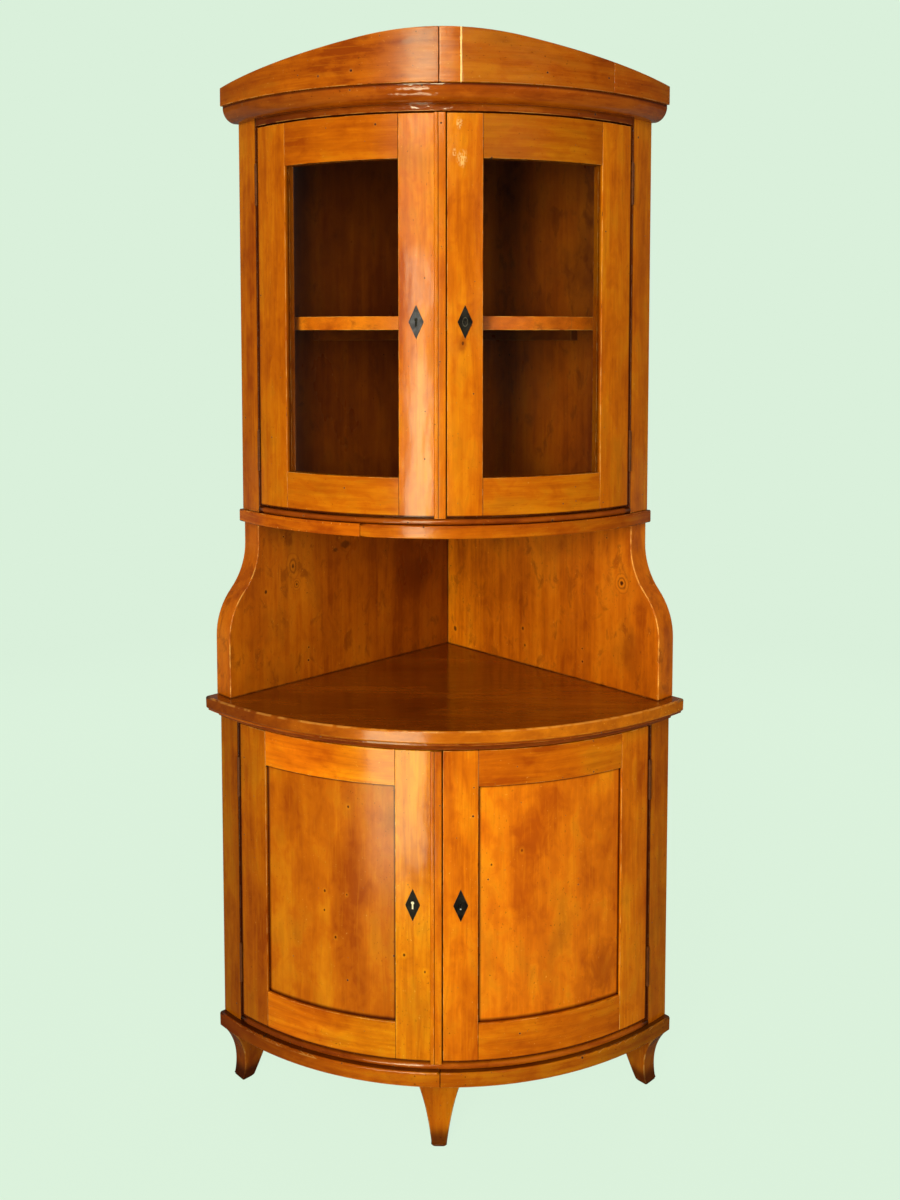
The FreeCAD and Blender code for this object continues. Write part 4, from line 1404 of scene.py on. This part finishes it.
@dataclass
class Door:
    """One bowed door: stiles, rails, panel or glass, keyhole plate, and its cover strip or lock."""

    shop: Workshop
    tier: Tier
    hand: Hand
    arris: float = 0.0008
    stile_arris: float = 0.0011
    strip_arris: float = 0.0005
    plate_arris: float = 0.0004
    tongue: float = 0.0085
    # Painted shade: its colour on the frame's back and sides, and where it lies along the hinge edge, the
    # foot, the panel's edges and the glass reveal
    back_shade: Colour = (0.48, 0.42, 0.36)
    hinge_line: Tuple[float, float] = (0.0060, 0.0028)
    foot_line: Tuple[float, float] = (0.0040, 0.0015)
    panel_shadow_lines: Tuple[float, float, float, float] = (0.006, 0.004, 0.007, 0.005)
    reveal_line: Tuple[float, float] = (0.0012, 0.0004)
    reveal_behind: Tuple[float, float] = (0.0015, 0.0030)
    reveal_reach: Tuple[float, float] = (0.03, 0.01)
    hinge_half: float = 0.002
    rail_end: float = 0.004
    rail_grime: float = -0.7
    strip_line: float = 0.0014
    strip_shade: float = 0.86
    strip_skin: float = 0.001
    on_line: float = 1e-5
    groove_share: float = 0.36
    groove_half: float = 0.0016
    groove_depth: float = 0.0015
    stile_shades: Tuple[float, float] = (1.0, 1.0)
    rail_shades: Tuple[float, float] = (1.0, 1.0)
    panel_shade: float = 1.0
    marks: Tuple[Mark, ...] = ()
    stile_marks: Tuple[Mark, ...] = ()
    plate: IronFinish = BLACK_IRON
    keyhole: Keyhole = Keyhole()
    # A painted sheen towards the lock side, and the span over which it sets in
    painted_sheen: Optional[Colour] = None
    painted_sheen_span: Tuple[float, float] = (-0.28, -0.12)
    seed: float = 20.0
    rail_seed: float = 0.5
    strip_seed: float = 0.7
    panel_seed: float = 0.9

    @property
    def name(self) -> str:
        """The door's name, which begins the names of its nodes."""
        return f"{self.tier.value}_{self.hand.value}_door"

    @property
    def bow(self) -> Bow:
        """The arc that the door follows."""
        return LOWER_BOW if self.tier is Tier.LOWER else UPPER_BOW

    def build(self) -> None:
        """Dresses the door's timber, infill and hardware."""
        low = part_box(f"{self.name}_stiles")[0].z
        inwards = 1.0 if self.hand is Hand.LEFT else -1.0
        # Painted shade along the hinge edge and the foot, and on the frame's sides and back behind its
        # front face
        hinge = (self._hinge_edge() + away * inwards for away in self.hinge_line)
        foot = tuple(low + away for away in self.foot_line)
        behind = set_back(self.bow.radius, BACK_LINE, self.back_shade)
        zones = [Zone(Along.ACROSS, *hinge, PAINTED_SHADE), Zone(Along.LENGTH, *foot, PAINTED_SHADE), behind,
                 *self._painted_sheen(Along.ACROSS)]
        if self.tier is Tier.UPPER:
            zones.append(self._reveal(inwards))
        upright = FRAME_WOOD.material(self.name, Grain.UPRIGHT, self.bow, self.stile_marks, zones)
        rail = RAIL_WOOD.material(self.name, Grain.ROUND, self.bow, zones=(
            Zone(Along.ACROSS, *foot, PAINTED_SHADE), behind, *self._painted_sheen(Along.LENGTH)))
        self.shop.dress(f"{self.name}_stiles", upright, self.stile_arris, self.seed, self.stile_shades,
                        self._stile_wear(), self.bow)
        self.shop.dress(f"{self.name}_rails", rail, self.arris, self.seed + self.rail_seed,
                        self.rail_shades, self._rail_wear(), self.bow)
        if self.tier is Tier.LOWER:
            self._panel()
        else:
            self.shop.coat(f"{self.name}_glass", WINDOW_GLASS.material())
        self._hardware()

    def _painted_sheen(self, round_front: Along) -> Tuple[Zone, ...]:
        """A painted sheen: the yellower band towards the lock side, where the light falls brightest.

        Args:
            round_front: The way in which the timber's finish measures round the front.

        Returns:
            One zone, or none where the door has no painted sheen.
        """
        return (Zone(round_front, *self.painted_sheen_span, self.painted_sheen),) if self.painted_sheen else ()

    def _reveal(self, inwards: float) -> Zone:
        """Painted shade on the inner edge of the hinge stile, beside the glass, where the reveal lies in
        shade.

        Args:
            inwards: 1 where the lock stile lies to the right, -1 where it lies to the left.

        Returns:
            The zone.
        """
        first, last = self._span("glass")
        inner = first + self.tongue if inwards > 0.0 else last - self.tongue
        line = (inner - away * inwards for away in self.reveal_line)
        behind = (self.bow.radius - away for away in self.reveal_behind)
        near = (inner + away * inwards for away in self.reveal_reach)
        return Zone(Along.ACROSS, *line, PAINTED_SHADE, within=((Along.REACH, *behind), (Along.ACROSS, *near)))

    def _hinge_edge(self) -> float:
        """Where the stiles' hinge edge lies along the front."""
        return self._span("stiles")[0 if self.hand is Hand.LEFT else 1]

    def _place(self, point: Vector) -> float:
        """Length along the front from the middle line."""
        return self.bow.arc(self.bow.angle(point))

    def _span(self, node: str) -> Tuple[float, float]:
        """Where one of the door's nodes, named without the door, begins and ends along the front."""
        return self.shop.span(f"{self.name}_{node}", self.bow)

    def _panel(self) -> None:
        """Dresses the panel, with painted shade where it meets the frame."""
        low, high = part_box(f"{self.name}_panel")
        first, last = self._span("panel")
        left, right = first + self.tongue, last - self.tongue
        foot, head = low.z + self.tongue, high.z - self.tongue
        at_left, at_right, at_foot, at_head = self.panel_shadow_lines
        zones = (Zone(Along.ACROSS, left + at_left, left, PAINTED_SHADE),
                 Zone(Along.ACROSS, right - at_right, right, PAINTED_SHADE),
                 Zone(Along.LENGTH, foot + at_foot, foot, PAINTED_SHADE),
                 Zone(Along.LENGTH, head - at_head, head, PAINTED_SHADE))
        finish = PANEL_WOOD.material(self.name, Grain.UPRIGHT, self.bow, self.marks, zones)
        self.shop.dress(f"{self.name}_panel", finish, self.arris, self.seed + self.panel_seed,
                        (self.panel_shade,), bow=self.bow)

    def _stile_wear(self) -> EdgeRule:
        """Makes the rule for the stiles: painted shade along the hinge edge, where the gap lies in shade,
        worn elsewhere.

        Returns:
            The rule.
        """
        hinge_edge = self._hinge_edge()

        def wear(point: Vector) -> float:
            """Wear at one place."""
            return GRIME_AND_SHADE if abs(self._place(point) - hinge_edge) < self.hinge_half else WORN

        return wear

    def _rail_wear(self) -> EdgeRule:
        """Makes the rule for the rails: grime where an end meets a stile, worn elsewhere.

        Returns:
            The rule.
        """
        first, last = self._span("rails")

        def wear(point: Vector) -> float:
            """Wear at one place."""
            place = self._place(point)
            return self.rail_grime if min(place - first, last - place) < self.rail_end else WORN

        return wear

    def _cover_strip(self) -> None:
        """Dresses the cover strip, which is two reeds with a groove between them."""
        first, last = self._span("cover_strip")
        middle = first + (last - first) * self.groove_share

        def groove(mesh: bmesh.types.BMesh) -> None:
            """Sinks the groove into the strip's face.

            Args:
                mesh: The strip.
            """
            for place in (middle - self.groove_half, middle, middle + self.groove_half):
                cut_upright(mesh, self.bow, math.degrees(place / self.bow.radius))
            face = max(self.bow.reach(vertex.co) for vertex in mesh.verts) - self.strip_skin
            root = [vertex for vertex in mesh.verts
                    if abs(self._place(vertex.co) - middle) < self.on_line
                    and self.bow.reach(vertex.co) > face]
            inwards = (Vector((0.0, self.bow.centre_y, 0.0)) - root[0].co.xy.to_3d()).normalized()
            bmesh.ops.translate(mesh, verts=root, vec=inwards * self.groove_depth)

        def wear(point: Vector) -> float:
            """Painted shade in the groove, a dark joint along the stile, worn elsewhere."""
            place = self._place(point)
            return GRIME_AND_SHADE if min(abs(place - middle), abs(place - first)) < self.strip_line else WORN

        upright = FRAME_WOOD.material(f"{self.name}_strip", Grain.UPRIGHT, self.bow)
        self.shop.dress(f"{self.name}_cover_strip", upright, self.strip_arris, self.seed + self.strip_seed,
                        (self.strip_shade,), wear, self.bow, shaping=groove)

    def _hardware(self) -> None:
        """Dresses the keyhole plate, hinge leaves, and the lock or the bolt."""
        steel = LOCK_STEEL.material()
        self.shop.dress(f"{self.name}_keyhole_plate", self.plate.material(), self.plate_arris, bow=self.bow)
        self.keyhole.build(self.shop, self.name, self.bow)
        self.shop.coat(f"{self.name}_hinge_leaves", BROWN_IRON.material())
        if self.hand is Hand.LEFT:
            self._cover_strip()
            self.shop.coat(f"{self.name}_bolt_plate", steel)
            self.shop.coat(f"{self.name}_bolt", steel)
        else:
            self.shop.coat(f"{self.name}_lock_case", steel)
            self.shop.coat(f"{self.name}_lock_bolt", steel)


@dataclass
class Hinges:
    """The leaves on the case stiles and the pins through all eight hinges."""

    shop: Workshop

    def build(self) -> None:
        """Gives both groups their browned iron."""
        iron = BROWN_IRON.material()
        self.shop.coat("frame_hinge_leaves", iron)
        self.shop.coat("hinge_pins", iron)


# Room, lamps and camera
WINDOW_LIGHT: Colour = (1.0, 0.96, 0.60)


@dataclass
class Lamp:
    """One soft rectangular studio lamp."""

    name: str
    azimuth: float
    height: float
    distance: float
    width: float
    tall: float
    power: float
    aim: float
    colour: Colour = (1.0, 0.97, 0.93)
    shines: bool = False

    def build(self) -> None:
        """Hangs the lamp and turns it to the cupboard's middle line."""
        turn = math.radians(self.azimuth)
        place = Vector((math.sin(turn) * self.distance, -math.cos(turn) * self.distance, self.height))
        data = bpy.data.lights.new(self.name, "AREA")
        data.shape = "RECTANGLE"
        data.size = self.width
        data.size_y = self.tall
        data.energy = self.power
        data.color = self.colour
        lamp = bpy.data.objects.new(self.name, data)
        lamp.location = place
        lamp.rotation_euler = (Vector((0.0, 0.0, self.aim)) - place).to_track_quat("-Z", "Y").to_euler()
        lamp.visible_glossy = self.shines
        lamp.visible_camera = False
        bpy.context.scene.collection.objects.link(lamp)


@dataclass
class Studio:
    """A pale floor and surround, soft lamps, and the camera at the photograph's viewing angle."""

    pale: Colour = tone(218, 240, 219)
    floor_radius: float = 12.0
    floor_drop: float = 0.0006
    floor_sides: int = 96
    matt: Colour = tone(150, 166, 151)
    shown: float = 0.92
    horizon: Tuple[float, float] = (1.0, 6.0)
    lift: float = 1.07
    echo: float = 0.16
    rear: Tuple[float, float] = (0.40, 0.85)
    dim: Colour = (0.13, 0.126, 0.122)
    gloom: Colour = (0.05, 0.052, 0.046)
    eye: Triple = (0.05115, -2.305, 1.48221)
    ahead: Triple = (-0.01806, 0.99758, -0.06705)
    lens: float = 34.5
    sensor: float = 36.0
    shift: float = -0.157
    # Name, azimuth, height, distance, width, tall, power, height aimed at, colour, whether it shines
    lamps: Tuple[Lamp, ...] = (
        Lamp("key", -17.0, 1.8, 2.9, 0.9, 1.2, 46.0, 1.05),
        Lamp("window_low", -12.0, 1.03, 2.7, 0.5, 0.78, 12.5, 1.0, WINDOW_LIGHT, True),
        Lamp("window_high", -12.0, 1.67, 2.7, 0.5, 0.17, 2.8, 1.3, WINDOW_LIGHT, True),
        Lamp("spot", -8.0, 2.55, 2.7, 0.8, 0.3, 13.5, 1.8, WINDOW_LIGHT, True),
        Lamp("floor_glow", -18.0, 0.28, 1.32, 0.50, 0.45, 4.0, 0.62, WINDOW_LIGHT, True),
        Lamp("fill", 30.0, 1.7, 3.2, 1.4, 1.4, 20.0, 1.0),
        Lamp("top", -4.0, 3.1, 2.2, 1.6, 0.8, 12.0, 1.1),
        Lamp("back_left", -142.0, 1.7, 3.2, 1.6, 1.6, 42.0, 1.0),
        Lamp("back_right", 142.0, 1.7, 3.2, 1.6, 1.6, 42.0, 1.0),
    )

    def build(self) -> None:
        """Sets up the floor, the surround, the lamps and the camera."""
        self._floor()
        self._surround()
        for lamp in self.lamps:
            lamp.build()
        self._camera()
        bpy.context.scene.view_settings.view_transform = "Standard"

    def _seen(self, graph: Graph, way: str) -> Tuple[Signal, Signal, Signal]:
        """What sees the pale surround, and how much of it a shine shows.

        Args:
            graph: The graph that reads it.
            way: The output of Texture Coordinate that gives the place or direction.

        Returns:
            1 for the camera and for clear glass, 1 for a shine, and the colour that a shine shows: a
            share of the pale surround from the side behind the cupboard, and little from in front.
        """
        camera = graph.node("ShaderNodeLightPath", None, None, "Is Camera Ray")
        place = graph.node("ShaderNodeTexCoord", None, None, way)
        behind = graph.node("ShaderNodeSeparateXYZ", None, {"Vector": place}, "Y").between(*self.rear)
        echo = graph.tint(behind * self.echo, self.gloom, self.pale)
        return camera.most(camera.other("Is Transmission Ray")), camera.other("Is Glossy Ray"), echo

    def _floor(self) -> None:
        """A wide pale disc that keeps the cupboard's shadow."""
        mesh = bmesh.new()
        bmesh.ops.create_circle(mesh, cap_ends=True, radius=self.floor_radius, segments=self.floor_sides)
        bmesh.ops.translate(mesh, verts=mesh.verts, vec=(0.0, 0.0, -self.floor_drop))
        data = bpy.data.meshes.new("studio_floor")
        mesh.to_mesh(data)
        mesh.free()
        material, graph = new_material("studio_floor")
        matt = graph.node("ShaderNodeBsdfDiffuse", None, {"Color": self.matt})
        place = graph.node("ShaderNodeTexCoord", None, None, "Object")
        far = graph.node("ShaderNodeVectorMath", {"operation": "LENGTH"}, {0: place}, "Value")
        far = far.between(*self.horizon)
        near = tuple(share * self.lift for share in self.pale)
        direct, shine, echo = self._seen(graph, "Object")
        colour = graph.tint(shine, graph.tint(far, near, self.pale), echo)
        glow = graph.node("ShaderNodeEmission", None, {"Color": colour, "Strength": 1.0})
        shown = direct * (far * (1.0 - self.shown) + self.shown)
        graph.surface(graph.node("ShaderNodeMixShader", None, {0: shown.most(shine), 1: matt, 2: glow}))
        data.materials.append(material)
        floor = bpy.data.objects.new("studio_floor", data)
        bpy.context.scene.collection.objects.link(floor)

    def _surround(self) -> None:
        """A surround that is pale to look at and gives only a little even light."""
        world = bpy.data.worlds.new("studio")
        world.use_nodes = True
        bpy.context.scene.world = world
        graph = Graph(world.node_tree)
        direct, shine, echo = self._seen(graph, "Generated")
        colour = graph.tint(shine, graph.tint(direct, self.dim, self.pale), echo)
        back = graph.node("ShaderNodeBackground", None, {"Color": colour, "Strength": 1.0})
        graph.node("ShaderNodeOutputWorld", None, {"Surface": back})

    def _camera(self) -> None:
        """The camera, whose sensor width is that of the picture's long side."""
        data = bpy.data.cameras.new("camera")
        data.sensor_width = self.sensor
        data.lens = self.lens
        data.shift_y = self.shift
        camera = bpy.data.objects.new("camera", data)
        camera.location = self.eye
        camera.rotation_euler = Vector(self.ahead).to_track_quat("-Z", "Y").to_euler()
        bpy.context.scene.collection.objects.link(camera)
        bpy.context.scene.camera = camera


# The whole cupboard
def doors(shop: Workshop) -> List[Door]:
    """The four doors with the marks and shades of their timber.

    Args:
        shop: The workshop that dresses them.

    Returns:
        The doors.
    """
    eye, stain, painted_glint = MarkKind.EYE, MarkKind.STAIN, MarkKind.SCUFF_AND_GLINT
    left_marks = (Mark(eye, -0.176, 0.621, 0.003), Mark(stain, -0.085, 0.600, 0.045, 0.8, 0.5),
                  Mark(eye, -0.225, 0.455, 0.0025), Mark(eye, -0.226, 0.418, 0.0025),
                  Mark(eye, -0.180, 0.455, 0.0022), Mark(eye, -0.203, 0.370, 0.0028))
    left_stile_marks = (Mark(eye, -0.069, 0.357, 0.003), Mark(eye, -0.031, 0.327, 0.003))
    right_marks = (Mark(stain, 0.319, 0.288, 0.05, 1.3), Mark(eye, 0.148, 0.545, 0.003),
                   Mark(eye, 0.091, 0.523, 0.0026), Mark(stain, 0.150, 0.550, 0.030, 0.5, 0.6))
    # A dark drip stain under the plate; the pale patches above it are painted highlights
    drip_and_glints = (Mark(stain, 0.037, 1.463, 0.009, 2.6), Mark(MarkKind.SCAR, 0.037, 1.466, 0.0024, 1.6),
            Mark(painted_glint, 0.036, 1.788, 0.012, 1.6, 0.5), Mark(painted_glint, 0.022, 1.800, 0.004, 2.6, 0.4),
            Mark(painted_glint, 0.030, 1.852, 0.006, 2.0, 0.4))
    # The stile, rail and panel shades are the timber's own tone, and partly painted light and shade,
    # lighter where the light falls
    return [
        Door(shop, Tier.LOWER, Hand.LEFT, stile_shades=(0.60, 1.02), rail_shades=(0.94, 1.10),
             panel_shade=0.68, marks=left_marks, stile_marks=left_stile_marks, keyhole=Keyhole(BONE_AND_REFLECTION),
             painted_sheen=(0.92, 1.14, 0.9), seed=21.0),
        Door(shop, Tier.LOWER, Hand.RIGHT, stile_shades=(0.94, 0.96), rail_shades=(0.88, 0.90),
             panel_shade=1.04, marks=right_marks, keyhole=Keyhole(pin=True), seed=24.0),
        Door(shop, Tier.UPPER, Hand.LEFT, stile_shades=(0.73, 0.86), rail_shades=(0.75, 0.74),
             plate=GREY_STEEL, seed=27.0),
        Door(shop, Tier.UPPER, Hand.RIGHT, stile_shades=(0.80, 0.83), rail_shades=(0.71, 0.54),
             stile_marks=drip_and_glints, keyhole=Keyhole(rim=True), seed=31.0),
    ]


def main() -> None:
    """Builds the sub-assemblies in order, then the studio."""
    logging.basicConfig(level=logging.INFO, format="%(name)s: %(message)s")
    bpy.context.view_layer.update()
    shop = Workshop(frame["nodes"], frame["record"])
    cases = (LowerCase(shop), Worktop(shop), UpperCase(shop), Cornice(shop))
    for assembly in (*cases, *doors(shop), Hinges(shop)):
        assembly.build()
    Studio().build()


if __name__ == "__main__":
    main()
